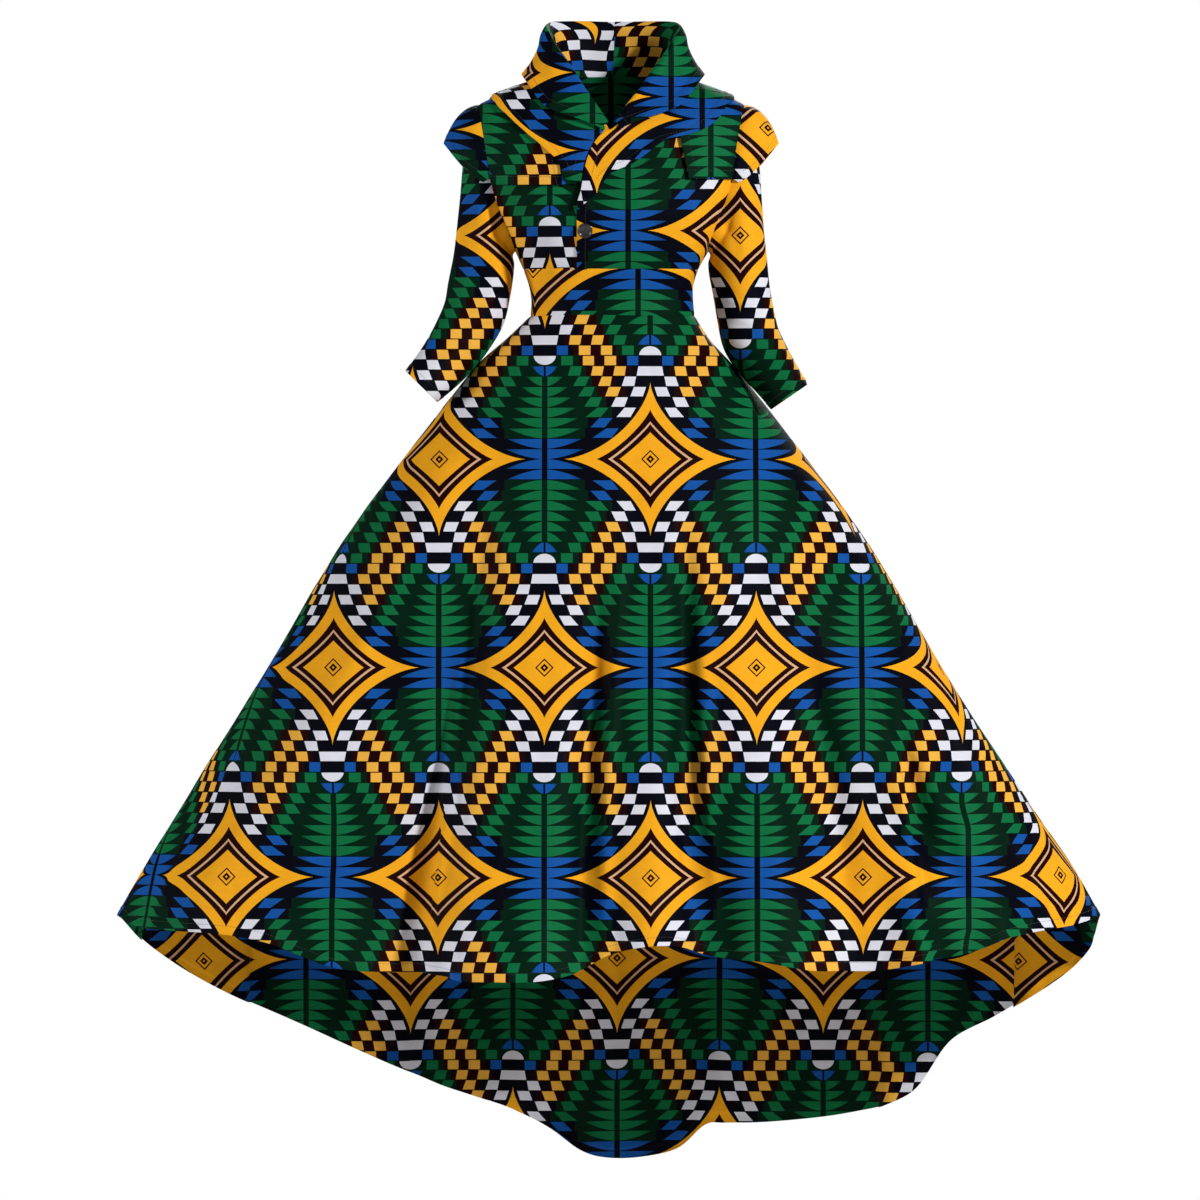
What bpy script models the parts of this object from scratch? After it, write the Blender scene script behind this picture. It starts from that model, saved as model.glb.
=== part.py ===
"""Bazin dress: a fitted wax-print bodice with layered collar, three-quarter sleeves and a high-low skirt.

Units are metres, +Z is up, the front faces -Y and the wearer's left is +X.
The origin lies between the shoulders, at the base of the neck.
Every piece is one cut-and-sewn piece of cloth: an open surface given a wall by Solidify.
"""
import math
from bisect import bisect_right
from collections import namedtuple

import bmesh
import bpy
from mathutils import Vector

# Driving dimensions
CLOTH = 0.0014          # wall of every cloth piece
CLOTH_ROUGHNESS = 0.75
SEAM = 0.0003           # gap between two sewn pieces
BAND_TOP = -0.2508      # seam between the bodice and the midriff band
BAND_BOTTOM = -0.3115   # seam between the midriff band and the skirt
UNDERARM = -0.228       # lowest point of the armhole
SHOULDER_TIP = -0.038   # highest point of the armhole
NECK_TOP = 0.005        # where the shoulder seam meets the collar
V_POINT = -0.067        # lowest point of the neckline
SIDE_HEM = -1.102       # hem at the side seams, where the front and back hems meet
BUTTON_RADIUS = 0.010
BUTTON_HEIGHT = 0.0035
BUTTON_PLACE = (-0.034, -0.2006)    # across and height of the button on the wrap

# Heights of the bodice rows; those between the underarm and the shoulder tip are shared by the sleeve
LOWER_ROWS = [BAND_TOP + SEAM, -0.239]
ARMHOLE_ROWS = [UNDERARM, -0.217, -0.199, -0.178, -0.155, -0.130, -0.107, -0.086, V_POINT, -0.050, SHOULDER_TIP]
UPPER_ROWS = [-0.027, -0.016, -0.006, 0.000, NECK_TOP]

# The bodice form, level by level: centre and half width across, depth to the front and back, squareness
Level = namedtuple("Level", "z centre half_width front back power")
BODY = [
    Level(-0.330, 0.002, 0.1140, 0.087, 0.086, 2.20),
    Level(-0.312, 0.002, 0.1089, 0.084, 0.083, 2.20),
    Level(-0.302, 0.002, 0.1072, 0.084, 0.083, 2.20),
    Level(-0.282, 0.001, 0.1069, 0.086, 0.083, 2.20),
    Level(-0.264, 0.000, 0.1106, 0.090, 0.086, 2.25),
    Level(-0.245, 0.000, 0.1180, 0.096, 0.090, 2.30),
    Level(-0.228, 0.001, 0.1267, 0.102, 0.094, 2.30),
    Level(-0.205, 0.001, 0.1395, 0.108, 0.098, 2.35),
    Level(-0.178, 0.001, 0.1520, 0.112, 0.101, 2.40),
    Level(-0.145, 0.001, 0.1680, 0.108, 0.103, 2.40),
    Level(-0.100, 0.001, 0.1840, 0.094, 0.101, 2.40),
    Level(-0.060, 0.001, 0.1890, 0.080, 0.094, 2.30),
    Level(-0.038, 0.001, 0.1770, 0.071, 0.086, 2.20),
    Level(-0.024, 0.001, 0.1500, 0.065, 0.080, 2.20),
    Level(-0.012, 0.001, 0.1200, 0.060, 0.074, 2.20),
    Level(-0.002, 0.001, 0.0900, 0.055, 0.068, 2.20),
    Level(0.008, 0.001, 0.0680, 0.050, 0.062, 2.20),
    Level(0.020, 0.001, 0.0600, 0.047, 0.058, 2.20),
]

# The skirt, level by level, from the waist seam to below the back hem
SKIRT = [
    Level(-1.450, -0.003, 0.6490, 0.420, 0.470, 2.00),
    Level(-1.300, -0.003, 0.6490, 0.420, 0.462, 2.00),
    Level(-1.190, -0.003, 0.6490, 0.412, 0.450, 2.00),
    Level(-1.102, -0.003, 0.6490, 0.396, 0.434, 2.00),
    Level(-1.045, -0.003, 0.6170, 0.380, 0.418, 2.00),
    Level(-0.990, -0.005, 0.5810, 0.362, 0.400, 2.00),
    Level(-0.898, -0.007, 0.5230, 0.331, 0.368, 2.00),
    Level(-0.818, -0.008, 0.4710, 0.302, 0.338, 2.00),
    Level(-0.729, -0.008, 0.4180, 0.270, 0.310, 2.00),
    Level(-0.634, -0.008, 0.3620, 0.235, 0.266, 2.00),
    Level(-0.554, -0.008, 0.3075, 0.203, 0.228, 2.00),
    Level(-0.488, -0.008, 0.2570, 0.175, 0.193, 2.00),
    Level(-0.422, -0.008, 0.2060, 0.146, 0.158, 2.05),
    Level(-0.364, -0.008, 0.1580, 0.117, 0.124, 2.10),
    Level(-0.343, -0.005, 0.1365, 0.103, 0.106, 2.15),
    Level(-0.324, 0.001, 0.1140, 0.089, 0.089, 2.20),
    Level(-0.312, 0.002, 0.1089, 0.084, 0.083, 2.20),
]

WAIST_RADIUS = 0.100    # distance of the side seam from the middle at the waist
SIDE_RADIUS = 0.600     # the same at the hem
ROW_CROWDING = 1.25     # above 1 the skirt's rows lie closer together toward the waist

# Height of the hem across the dress, seen from the front
Hem = namedtuple("Hem", "x z")
FRONT_HEM = [
    Hem(-0.652, -1.102), Hem(-0.620, -1.117), Hem(-0.520, -1.122), Hem(-0.450, -1.134),
    Hem(-0.404, -1.151), Hem(-0.334, -1.171), Hem(-0.239, -1.172), Hem(-0.190, -1.183),
    Hem(-0.102, -1.183), Hem(-0.032, -1.167), Hem(0.004, -1.146), Hem(0.051, -1.137),
    Hem(0.096, -1.138), Hem(0.132, -1.150), Hem(0.209, -1.159), Hem(0.275, -1.170),
    Hem(0.341, -1.170), Hem(0.387, -1.167), Hem(0.436, -1.152), Hem(0.487, -1.144),
    Hem(0.513, -1.130), Hem(0.556, -1.121), Hem(0.606, -1.114), Hem(0.646, -1.102),
]
BACK_HEM = [
    Hem(-0.652, -1.102), Hem(-0.616, -1.143), Hem(-0.539, -1.195), Hem(-0.404, -1.259),
    Hem(-0.288, -1.311), Hem(-0.210, -1.345), Hem(-0.144, -1.365), Hem(-0.083, -1.394),
    Hem(-0.042, -1.424), Hem(0.008, -1.437), Hem(0.070, -1.432), Hem(0.096, -1.420),
    Hem(0.136, -1.388), Hem(0.190, -1.387), Hem(0.267, -1.382), Hem(0.345, -1.369),
    Hem(0.403, -1.344), Hem(0.434, -1.312), Hem(0.461, -1.269), Hem(0.499, -1.250),
    Hem(0.541, -1.225), Hem(0.574, -1.204), Hem(0.612, -1.175), Hem(0.634, -1.151),
    Hem(0.646, -1.102),
]

# Folds of the skirt: angle from the centre front at the hem, how far it turns by the start height,
# half width, how far it stands out (or in, below zero) at the hem, and the height where it starts
Fold = namedtuple("Fold", "angle drift half_width depth start")
FOLD_GROWTH = 1.2    # how slowly a fold deepens on its way down; 1 is even
FOLD_SPREAD = 1.5    # how far the soft flanks of a fold run past its half width
SKIRT_FOLDS = [
    Fold(-75.0, 0.0, 6.0, -0.014, -0.60),
    Fold(-53.0, 6.0, 9.0, 0.030, -0.40),
    Fold(-25.5, -8.0, 7.5, -0.060, -0.45),
    Fold(-11.5, -3.0, 8.0, 0.026, -0.48),
    Fold(-1.8, 0.0, 2.6, -0.036, -0.70),
    Fold(4.5, 0.0, 4.5, 0.016, -0.80),
    Fold(11.5, 7.0, 3.4, -0.028, -0.58),
    Fold(19.0, 2.0, 6.5, 0.024, -0.45),
    Fold(31.0, 3.0, 6.5, -0.036, -0.60),
    Fold(39.5, 7.0, 3.2, 0.026, -0.62),
    Fold(44.5, 3.0, 3.0, -0.036, -0.80),
    Fold(52.0, 0.0, 6.0, 0.022, -0.70),
    Fold(70.0, 0.0, 7.0, -0.016, -0.60),
    Fold(105.0, 0.0, 5.0, 0.012, -0.62),
    Fold(117.0, 0.0, 6.0, -0.034, -0.55),
    Fold(129.0, 3.0, 6.5, 0.034, -0.50),
    Fold(141.0, 0.0, 5.5, -0.040, -0.60),
    Fold(152.0, -2.0, 6.0, 0.032, -0.48),
    Fold(163.0, 0.0, 4.8, -0.040, -0.52),
    Fold(174.0, 2.0, 6.5, 0.036, -0.45),
    Fold(186.5, 0.0, 5.5, -0.044, -0.55),
    Fold(198.0, -3.0, 6.0, 0.034, -0.50),
    Fold(209.5, 0.0, 5.0, -0.038, -0.60),
    Fold(221.0, 2.0, 6.5, 0.034, -0.48),
    Fold(234.0, 0.0, 6.0, -0.036, -0.56),
    Fold(247.0, 0.0, 6.5, 0.020, -0.60),
    Fold(257.0, 0.0, 4.5, -0.012, -0.70),
]

# The armhole on the form: how far out it runs at each height
Armhole = namedtuple("Armhole", "z x")
ARMHOLE = [
    Armhole(UNDERARM, 0.1267), Armhole(-0.217, 0.1300), Armhole(-0.199, 0.1365), Armhole(-0.178, 0.1455),
    Armhole(-0.155, 0.1535), Armhole(-0.130, 0.1600), Armhole(-0.105, 0.1645), Armhole(-0.080, 0.1685),
    Armhole(-0.058, 0.1725), Armhole(-0.044, 0.1755), Armhole(SHOULDER_TIP, 0.1770),
]

# The wrap edge of the wearer's left front, and the neckline above the V
Edge = namedtuple("Edge", "z x")
WRAP = [
    Edge(-0.260, -0.045), Edge(-0.178, -0.045), Edge(-0.152, -0.040), Edge(-0.119, -0.034),
    Edge(-0.092, -0.025), Edge(V_POINT, -0.004),
]
UNDERLAP = [Edge(-0.260, 0.026), Edge(-0.110, 0.022), Edge(V_POINT, 0.001)]
NECKLINE = [
    Edge(V_POINT, 0.001), Edge(-0.047, 0.015), Edge(-0.026, 0.033), Edge(-0.008, 0.050),
    Edge(0.000, 0.061), Edge(NECK_TOP, 0.068),
]

# Lapels: each row is a line across the lapel, from its inner edge to its outer edge. x is measured outward
# from the middle toward the lapel's own side, and back says that the line lies behind the shoulder ridge.
Strip = namedtuple("Strip", "inner_x inner_z outer_x outer_z back")
LAPEL_FRONT = {
    1: [
        Strip(-0.0440, -0.1660, -0.0390, -0.1705, False),
        Strip(-0.0395, -0.1500, -0.0185, -0.1530, False),
        Strip(-0.0340, -0.1190, 0.0013, -0.1267, False),
        Strip(-0.0250, -0.0920, 0.0304, -0.1135, False),
        Strip(-0.0120, -0.0750, 0.0520, -0.0970, False),
        Strip(0.0020, -0.0680, 0.0740, -0.0818, False),
        Strip(0.0180, -0.0500, 0.1030, -0.0752, False),
        Strip(0.0360, -0.0290, 0.1190, -0.0690, False),
        Strip(0.0530, -0.0110, 0.1400, -0.0540, False),
        Strip(0.0635, -0.0030, 0.1510, -0.0380, False),
    ],
    -1: [
        Strip(0.0390, -0.1385, 0.0620, -0.1346, False),
        Strip(0.0360, -0.1190, 0.0670, -0.1150, False),
        Strip(0.0270, -0.0930, 0.0830, -0.0970, False),
        Strip(0.0160, -0.0770, 0.0950, -0.0860, False),
        Strip(0.0080, -0.0680, 0.1070, -0.0760, False),
        Strip(0.0180, -0.0500, 0.1190, -0.0650, False),
        Strip(0.0360, -0.0290, 0.1310, -0.0540, False),
        Strip(0.0530, -0.0110, 0.1420, -0.0440, False),
        Strip(0.0635, -0.0030, 0.1500, -0.0350, False),
    ],
}
LAPEL_BACK = [
    Strip(0.0715, 0.0020, 0.1530, -0.0260, True),
    Strip(0.0660, 0.0020, 0.1490, -0.0420, True),
    Strip(0.0540, 0.0020, 0.1330, -0.0640, True),
    Strip(0.0370, 0.0020, 0.1000, -0.0820, True),
    Strip(0.0180, 0.0020, 0.0520, -0.0960, True),
    Strip(0.0003, 0.0020, 0.0003, -0.1010, True),
]

# Shoulder flaps: how far they reach in from the armhole at the front, the ridge and the back
Flap = namedtuple("Flap", "side front_reach ridge_reach back_reach front_drop")
FLAPS = [
    Flap(1, 0.048, 0.095, 0.080, -0.02),
    Flap(-1, 0.095, 0.095, 0.080, -0.09),
]

# Collar, half way round from the V to the centre back: how far along the neckline its foot stands
# (1 at the shoulder, 2 at the centre back), the roll and the free edge
Collar = namedtuple("Collar", "number along roll_x roll_y roll_z edge_x edge_y edge_z")
COLLAR = [
    Collar(0, 0.09, 0.004, -0.0855, -0.057, 0.013, -0.0945, -0.066),
    Collar(1, 0.31, 0.018, -0.0790, -0.036, 0.030, -0.0920, -0.058),
    Collar(2, 0.60, 0.038, -0.0660, -0.008, 0.058, -0.0885, -0.048),
    Collar(3, 0.84, 0.057, -0.0500, 0.022, 0.088, -0.0770, -0.036),
    Collar(4, 1.00, 0.073, -0.0290, 0.047, 0.108, -0.0520, -0.012),
    Collar(5, 1.18, 0.084, 0.0000, 0.070, 0.121, -0.0080, 0.007),
    Collar(6, 1.43, 0.077, 0.0320, 0.077, 0.115, 0.0400, 0.001),
    Collar(7, 1.63, 0.055, 0.0560, 0.080, 0.086, 0.0780, -0.008),
    Collar(8, 1.82, 0.028, 0.0700, 0.081, 0.045, 0.0920, -0.015),
    Collar(9, 2.00, 0.000, 0.0750, 0.081, 0.000, 0.0960, -0.018),
]
COLLAR_GAP = 0.0005     # the collar's foot stands this far inside the edge of the neckline
COLLAR_HOLLOW = 0.07    # how far the fall sinks between roll and edge, as a share of its depth
COLLAR_CENTRE = 0.003   # the collar stands a little toward the wearer's left

# Sleeve sections down the arm: centre, half width across the arm and half depth
Section = namedtuple("Section", "x y z half_width half_depth")
SLEEVES = {
    1: [
        Section(0.1672, 0.002, -0.240, 0.0392, 0.0470),
        Section(0.1720, 0.004, -0.277, 0.0380, 0.0460),
        Section(0.1775, 0.001, -0.310, 0.0380, 0.0455),
        Section(0.1848, -0.008, -0.341, 0.0385, 0.0445),
        Section(0.2006, -0.026, -0.370, 0.0360, 0.0415),
        Section(0.2191, -0.047, -0.396, 0.0320, 0.0375),
        Section(0.2350, -0.065, -0.419, 0.0290, 0.0340),
    ],
    -1: [
        Section(0.1682, 0.002, -0.240, 0.0408, 0.0475),
        Section(0.1740, 0.004, -0.277, 0.0420, 0.0470),
        Section(0.1800, 0.001, -0.306, 0.0415, 0.0465),
        Section(0.1967, -0.008, -0.339, 0.0390, 0.0445),
        Section(0.2172, -0.025, -0.369, 0.0355, 0.0410),
        Section(0.2363, -0.043, -0.391, 0.0320, 0.0375),
        Section(0.2500, -0.056, -0.405, 0.0290, 0.0340),
    ],
}
SLEEVE_HEAD_RUN = 0.022   # how far the sleeve head runs straight out of the armhole
SLEEVE_HEAD_SHARES = (0.0, 0.08, 0.2, 0.35, 0.52, 0.7, 0.87)   # rows between armhole and upper arm
UNDERLAP_SINK = 0.0022    # how far the wearer's right front sinks where the wrap covers it
LAPEL_LIFT = 0.0066       # outer face of the lapels above the bodice, at their inner edge
LAPEL_RISE = 0.001        # how much higher their outer edge stands
FLAP_LIFT = 0.0034        # outer face of the flaps above the bodice
FLAP_SHORT = 0.0035       # the seam of flap and wing lies this far inside the armhole
FLAP_ROWS = [-0.130, -0.105, -0.080, -0.060, -0.049, -0.0425, -0.0390]   # heights of that seam's points
WING_TIP = (0.221, -0.084)     # how far out and how high the wing's point lies
WING_ROOT = (0.169, -0.136)    # the same for the place where its edge reaches the armhole
WING_DEPTH = 0.055             # how far that place lies in front of the tip, and behind it


def table(rows, key, column):
    """Return a function that reads one column of a table along a smooth curve through its rows."""
    ordered = sorted(rows, key=lambda row: getattr(row, key))
    keys = [getattr(row, key) for row in ordered]
    values = [getattr(row, column) for row in ordered]
    spans = [(values[i + 1] - values[i]) / (keys[i + 1] - keys[i]) for i in range(len(keys) - 1)]
    inner = [0.0 if a * b <= 0.0 else 2.0 * a * b / (a + b) for a, b in zip(spans, spans[1:])]
    slopes = [spans[0]] + inner + [spans[-1]]

    def read(at):
        if at <= keys[0]:
            return values[0]
        if at >= keys[-1]:
            return values[-1]
        i = bisect_right(keys, at) - 1
        width = keys[i + 1] - keys[i]
        t = (at - keys[i]) / width
        return (values[i] * (1 + 2 * t) * (1 - t) ** 2 + slopes[i] * width * t * (1 - t) ** 2
                + values[i + 1] * t * t * (3 - 2 * t) + slopes[i + 1] * width * t * t * (t - 1))

    return read


def refined(rows, parts):
    """Add rows between the rows of a numbered table, along smooth curves."""
    fields = rows[0]._fields[1:]
    readers = [table(rows, "number", name) for name in fields]
    places = [i / parts for i in range(rows[-1].number * parts + 1)]
    return [type(rows[0])(place, *[read(place) for read in readers]) for place in places]


def level_reader(rows):
    """Read every column of a form's table at one height."""
    readers = {name: table(rows, "z", name) for name in Level._fields[1:]}
    return lambda z: Level(z, *[readers[name](z) for name in Level._fields[1:]])


body_level = level_reader(BODY)
skirt_level = level_reader(SKIRT)
armhole_x = table(ARMHOLE, "z", "x")
wrap_x = table(WRAP, "z", "x")
underlap_x = table(UNDERLAP, "z", "x")
neckline_x = table(NECKLINE, "z", "x")
front_hem = table(FRONT_HEM, "x", "z")
back_hem = table(BACK_HEM, "x", "z")


def smooth_step(low, high, at):
    """Rise softly from 0 at low to 1 at high."""
    t = min(1.0, max(0.0, (at - low) / (high - low)))
    return t * t * (3.0 - 2.0 * t)


def blend(a, b, t):
    return a + (b - a) * t


def ring_point(level, angle):
    """Point of a level's outline; angle 0 is the centre front and 90 degrees the wearer's left side."""
    across, along = math.sin(angle), math.cos(angle)
    depth = level.front if along >= 0.0 else level.back
    x = level.centre + math.copysign(level.half_width * abs(across) ** (2.0 / level.power), across)
    y = -math.copysign(depth * abs(along) ** (2.0 / level.power), along)
    return Vector((x, y, level.z))


def body_point(angle, z, lift=0.0):
    """Point on the bodice form, moved out from it by lift."""
    point = ring_point(body_level(z), angle)
    if lift == 0.0:
        return point
    turn, rise = math.radians(1.5), 0.002
    along = ring_point(body_level(z), angle + turn) - ring_point(body_level(z), angle - turn)
    up = ring_point(body_level(z + rise), angle) - ring_point(body_level(z - rise), angle)
    return point + along.cross(up).normalized() * lift


def angle_at(z, x, back=False):
    """Angle on the bodice form where the outline of a level passes a place across."""
    level = body_level(z)
    offset = x - level.centre
    share = min(1.0, abs(offset) / level.half_width)
    angle = math.copysign(math.asin(share ** (level.power / 2.0)), offset)
    return math.pi * math.copysign(1.0, x) - angle if back else angle


def seam_angle(z, gap):
    """Angle just short of the side of the form, half a seam gap away from it."""
    level = body_level(z)
    return math.acos((gap / level.front) ** (level.power / 2.0))


def outer_angle(z, side, back=False):
    """Angle of a bodice panel's outer edge: side seam, armhole, then shoulder seam."""
    angle = seam_angle(z, SEAM / 2.0)
    if UNDERARM < z < SHOULDER_TIP:
        angle = min(angle, abs(angle_at(z, side * armhole_x(z))))
    return side * (math.pi - angle) if back else side * angle


def material(name, colour, roughness):
    made = bpy.data.materials.new(name)
    made.use_nodes = True
    shader = made.node_tree.nodes["Principled BSDF"]
    shader.inputs["Base Color"].default_value = (*colour, 1.0)
    shader.inputs["Roughness"].default_value = roughness
    shader.inputs["Metallic"].default_value = 0.0
    return made


def sheet(name, colour, points, closed=False):
    """Make a cloth piece from a grid of points: rows run up, columns toward the wearer's left."""
    mesh = bpy.data.meshes.new(name)
    form = bmesh.new()
    rows = [[form.verts.new(point) for point in row] for row in points]
    count = len(rows[0])
    for low, high in zip(rows, rows[1:]):
        for i in range(count if closed else count - 1):
            j = (i + 1) % count
            form.faces.new((low[i], low[j], high[j], high[i]))
    form.to_mesh(mesh)
    form.free()
    mesh.shade_smooth()
    piece = bpy.data.objects.new(name, mesh)
    COLLECTION.objects.link(piece)
    mesh.materials.append(material(name, colour, CLOTH_ROUGHNESS))
    wall = piece.modifiers.new("cloth wall", "SOLIDIFY")
    wall.thickness = CLOTH
    wall.offset = -1.0
    wall.use_even_offset = True
    return piece


def spaced(first, last, count):
    """Evenly spaced values from first to last, in count steps."""
    return [first + (last - first) * i / count for i in range(count + 1)]


def bodice_panel(name, colour, inner_edge, side, back, columns, lift):
    """Make a bodice panel from the band seam up to the shoulder seam and neckline."""
    points = []
    for z in LOWER_ROWS + ARMHOLE_ROWS + UPPER_ROWS:
        ends = sorted((inner_edge(z), outer_angle(z, side, back)))
        points.append([body_point(angle, z, lift(angle, z)) for angle in spaced(*ends, columns)])
    return sheet(name, colour, points)


def front_left_edge(z):
    return angle_at(z, wrap_x(z) if z < V_POINT else neckline_x(z))


def front_right_edge(z):
    return angle_at(z, underlap_x(z) if z < V_POINT else -neckline_x(z))


def underlap_lift(angle, z):
    """Sink the wearer's right front under the wrap."""
    x = ring_point(body_level(z), angle).x
    return -UNDERLAP_SINK * smooth_step(wrap_x(z) - 0.030, wrap_x(z) - 0.005, x)


def back_panel():
    """Make the bodice back in one piece, from armhole to armhole."""
    points = []
    for z in LOWER_ROWS + ARMHOLE_ROWS + UPPER_ROWS:
        right = 2.0 * math.pi + outer_angle(z, -1, True)
        angles = spaced(outer_angle(z, 1, True), right, 22)
        points.append([body_point(angle, z) for angle in angles])
    return sheet("bodice_back", (0.02, 0.28, 0.12), points)


def midriff_band(name, first, last):
    points = []
    for z in spaced(BAND_BOTTOM + SEAM / 2.0, BAND_TOP - SEAM / 2.0, 3):
        gap = math.pi / 2.0 - seam_angle(z, SEAM / 2.0)
        points.append([body_point(angle, z) for angle in spaced(first + gap, last - gap, 18)])
    return sheet(name, (0.03, 0.22, 0.60), points)


def fold_shape(reach):
    """Rounded wave, 1 in the middle and 0 beyond its half width."""
    return (1.0 + math.cos(math.pi * min(1.0, abs(reach)))) / 2.0


def fold_height(angle, z, hem):
    """How far the folds carry the skirt out of its plain form."""
    degrees = math.degrees(angle)
    total = 0.0
    for fold in SKIRT_FOLDS:
        if z >= fold.start:
            continue
        grown = (fold.start - z) / (fold.start - hem)
        middle = fold.angle + fold.drift * (1.0 - grown)
        reach = (degrees - middle) / (fold.half_width * FOLD_SPREAD)
        total += fold.depth * min(1.0, grown) ** FOLD_GROWTH * fold_shape(reach)
    return total


def skirt_place(angle, z, hem):
    """Point of the skirt at a height, with its folds, above a known hem."""
    level = skirt_level(z)
    point = ring_point(level, angle)
    out = Vector((point.x - level.centre, point.y, 0.0)).normalized()
    return point + out * fold_height(angle, z, hem)


def skirt_hem(angle, back):
    """Height of the hem below one angle: the hem's outline is met where the folds carry the cloth."""
    hem = SIDE_HEM
    for _ in range(6):
        x = skirt_place(angle, hem, hem).x
        hem = blend(hem, back_hem(x) if back else front_hem(x), 0.7)
    return hem


def skirt_panel(name, colour, first, last, columns, rows, back):
    top = BAND_BOTTOM - SEAM / 2.0
    shares = [1.0 - (1.0 - i / rows) ** ROW_CROWDING for i in range(rows + 1)]
    points = []
    for share in shares:
        gap = SEAM / 2.0 / blend(SIDE_RADIUS, WAIST_RADIUS, share)
        row = []
        for angle in spaced(first + gap, last - gap, columns):
            hem = skirt_hem(angle, back)
            row.append(skirt_place(angle, blend(hem, top, share), hem))
        points.append(row)
    return sheet(name, colour, points)


def armhole_loop(side):
    """Points of the armhole: down the front from the shoulder tip, and up the back."""
    heights = ARMHOLE_ROWS[1:-1]
    front = [(outer_angle(z, side), z) for z in reversed(heights)]
    back = [(outer_angle(z, side, True), z) for z in heights]
    half = side * math.pi / 2.0
    return [(half, SHOULDER_TIP)] + front + [(half, UNDERARM)] + back


def section_ring(section, heading, side, count):
    """Ring of a sleeve section: it starts on the outer side and runs over the front."""
    depth = Vector((0.0, -1.0, 0.0))
    across = depth.cross(heading).normalized() * side
    centre = Vector((side * section.x, section.y, section.z))
    ring = []
    for i in range(count):
        turn = 2.0 * math.pi * i / count
        ring.append(centre + across * (section.half_width * math.cos(turn))
                    + depth * (section.half_depth * math.sin(turn)))
    return ring


def sleeve_rows(side):
    """Rings of the sleeve, from the armhole over the head and down to the cuff."""
    loop = armhole_loop(side)
    start = [body_point(angle, z) + Vector((side * 0.0005, 0.0, 0.0)) for angle, z in loop]
    sections = SLEEVES[side]
    centres = [Vector((side * s.x, s.y, s.z)) for s in sections]
    headings = []
    for i in range(len(centres)):
        low, high = max(0, i - 1), min(len(centres) - 1, i + 1)
        headings.append((centres[high] - centres[low]).normalized())
    rings = [section_ring(s, h, side, len(loop)) for s, h in zip(sections, headings)]
    rows = []
    for t in SLEEVE_HEAD_SHARES:
        row = []
        for first, last in zip(start, rings[0]):
            distance = (last - first).length
            run = min(0.4 * distance, SLEEVE_HEAD_RUN)
            leave = first + Vector((side * run, 0.0, -0.4 * run))
            arrive = last - headings[0] * (0.5 * distance)
            row.append(first * (1 - t) ** 3 + leave * (3 * t * (1 - t) ** 2)
                       + arrive * (3 * t * t * (1 - t)) + last * t ** 3)
        rows.append(row)
    return rows + rings


def sleeve(side, name, colour):
    rows = sleeve_rows(side)
    rows.reverse()
    if side > 0:
        rows = [row[::-1] for row in rows]
    return sheet(name, colour, rows, closed=True)


def ridge_height(x):
    """Height of the shoulder ridge at a place across."""
    low, high = SHOULDER_TIP, NECK_TOP + 0.003
    for _ in range(30):
        middle = (low + high) / 2.0
        if body_level(middle).half_width > x:
            low = middle
        else:
            high = middle
    return low


def flap_rises():
    """Shares of the way up from the wing's end to the ridge, one for each row of the flap."""
    top = ridge_height(ARMHOLE[-1].x - FLAP_SHORT)
    return [(z - FLAP_ROWS[0]) / (top - FLAP_ROWS[0]) for z in FLAP_ROWS] + [1.0]


def flap_point(flap, across, rise, back):
    """Point of a shoulder flap; across runs from its inner edge to the armhole, rise from the hem to the ridge."""
    reach = flap.back_reach if back else flap.front_reach
    ridge_x = ARMHOLE[-1].x - FLAP_SHORT - (1.0 - across) * flap.ridge_reach
    z = blend(FLAP_ROWS[0], ridge_height(ridge_x), rise)
    if rise >= 1.0:
        return body_point(flap.side * math.pi / 2.0, z, FLAP_LIFT)
    x = armhole_x(z) - FLAP_SHORT - (1.0 - across) * blend(reach, flap.ridge_reach, rise)
    return body_point(angle_at(z, flap.side * x, back), z, FLAP_LIFT)


def shoulder_flap(flap, name, colour):
    rises = flap_rises()
    path = [(rise, False) for rise in rises] + [(rise, True) for rise in reversed(rises[:-1])]
    points = []
    for rise, back in [(flap.front_drop, False)] + path:
        row = [flap_point(flap, across, rise, back) for across in spaced(0.0, 1.0, 7)]
        points.append(row if flap.side > 0 else row[::-1])
    return sheet(name, colour, points)


def cap_wing(flap, name, colour):
    """Make the pointed cap that stands over the sleeve head."""
    side = flap.side
    rises = flap_rises()
    columns = []
    for back in (False, True):
        for i, rise in enumerate(rises if not back else rises[-2::-1]):
            reach = i / (len(rises) - 1.0) if not back else 1.0 - (i + 1) / (len(rises) - 1.0)
            start = flap_point(flap, 1.0, rise, back) + Vector((side * SEAM * 1.5, 0.0, 0.0))
            deep = WING_DEPTH * math.cos(math.pi / 2.0 * reach) ** 0.8
            end = Vector((side * blend(WING_ROOT[0], WING_TIP[0], reach), deep if back else -deep,
                          blend(WING_ROOT[1], WING_TIP[1], reach ** 1.3)))
            run = 0.45 * (end - start).length
            middle = start + Vector((side * run, 0.0, -0.15 * run))
            columns.append([start * (1 - t) ** 2 + middle * (2 * t * (1 - t)) + end * t * t
                            for t in spaced(0.0, 1.0, 4)])
    rows = [list(row) for row in zip(*columns)]
    return sheet(name, colour, rows if side < 0 else [row[::-1] for row in rows])


StripEnds = namedtuple("StripEnds", "number inner_angle inner_z outer_angle outer_z")
STRIP_TURN = 18.0   # a strip that turns further than this round the form is divided again


def strip_points(strip, count, lift):
    """Points of one lapel strip, on the form and lifted off it."""
    return [body_point(blend(strip.inner_angle, strip.outer_angle, t), blend(strip.inner_z, strip.outer_z, t),
                       lift + LAPEL_RISE * t) for t in spaced(0.0, 1.0, count)]


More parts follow.
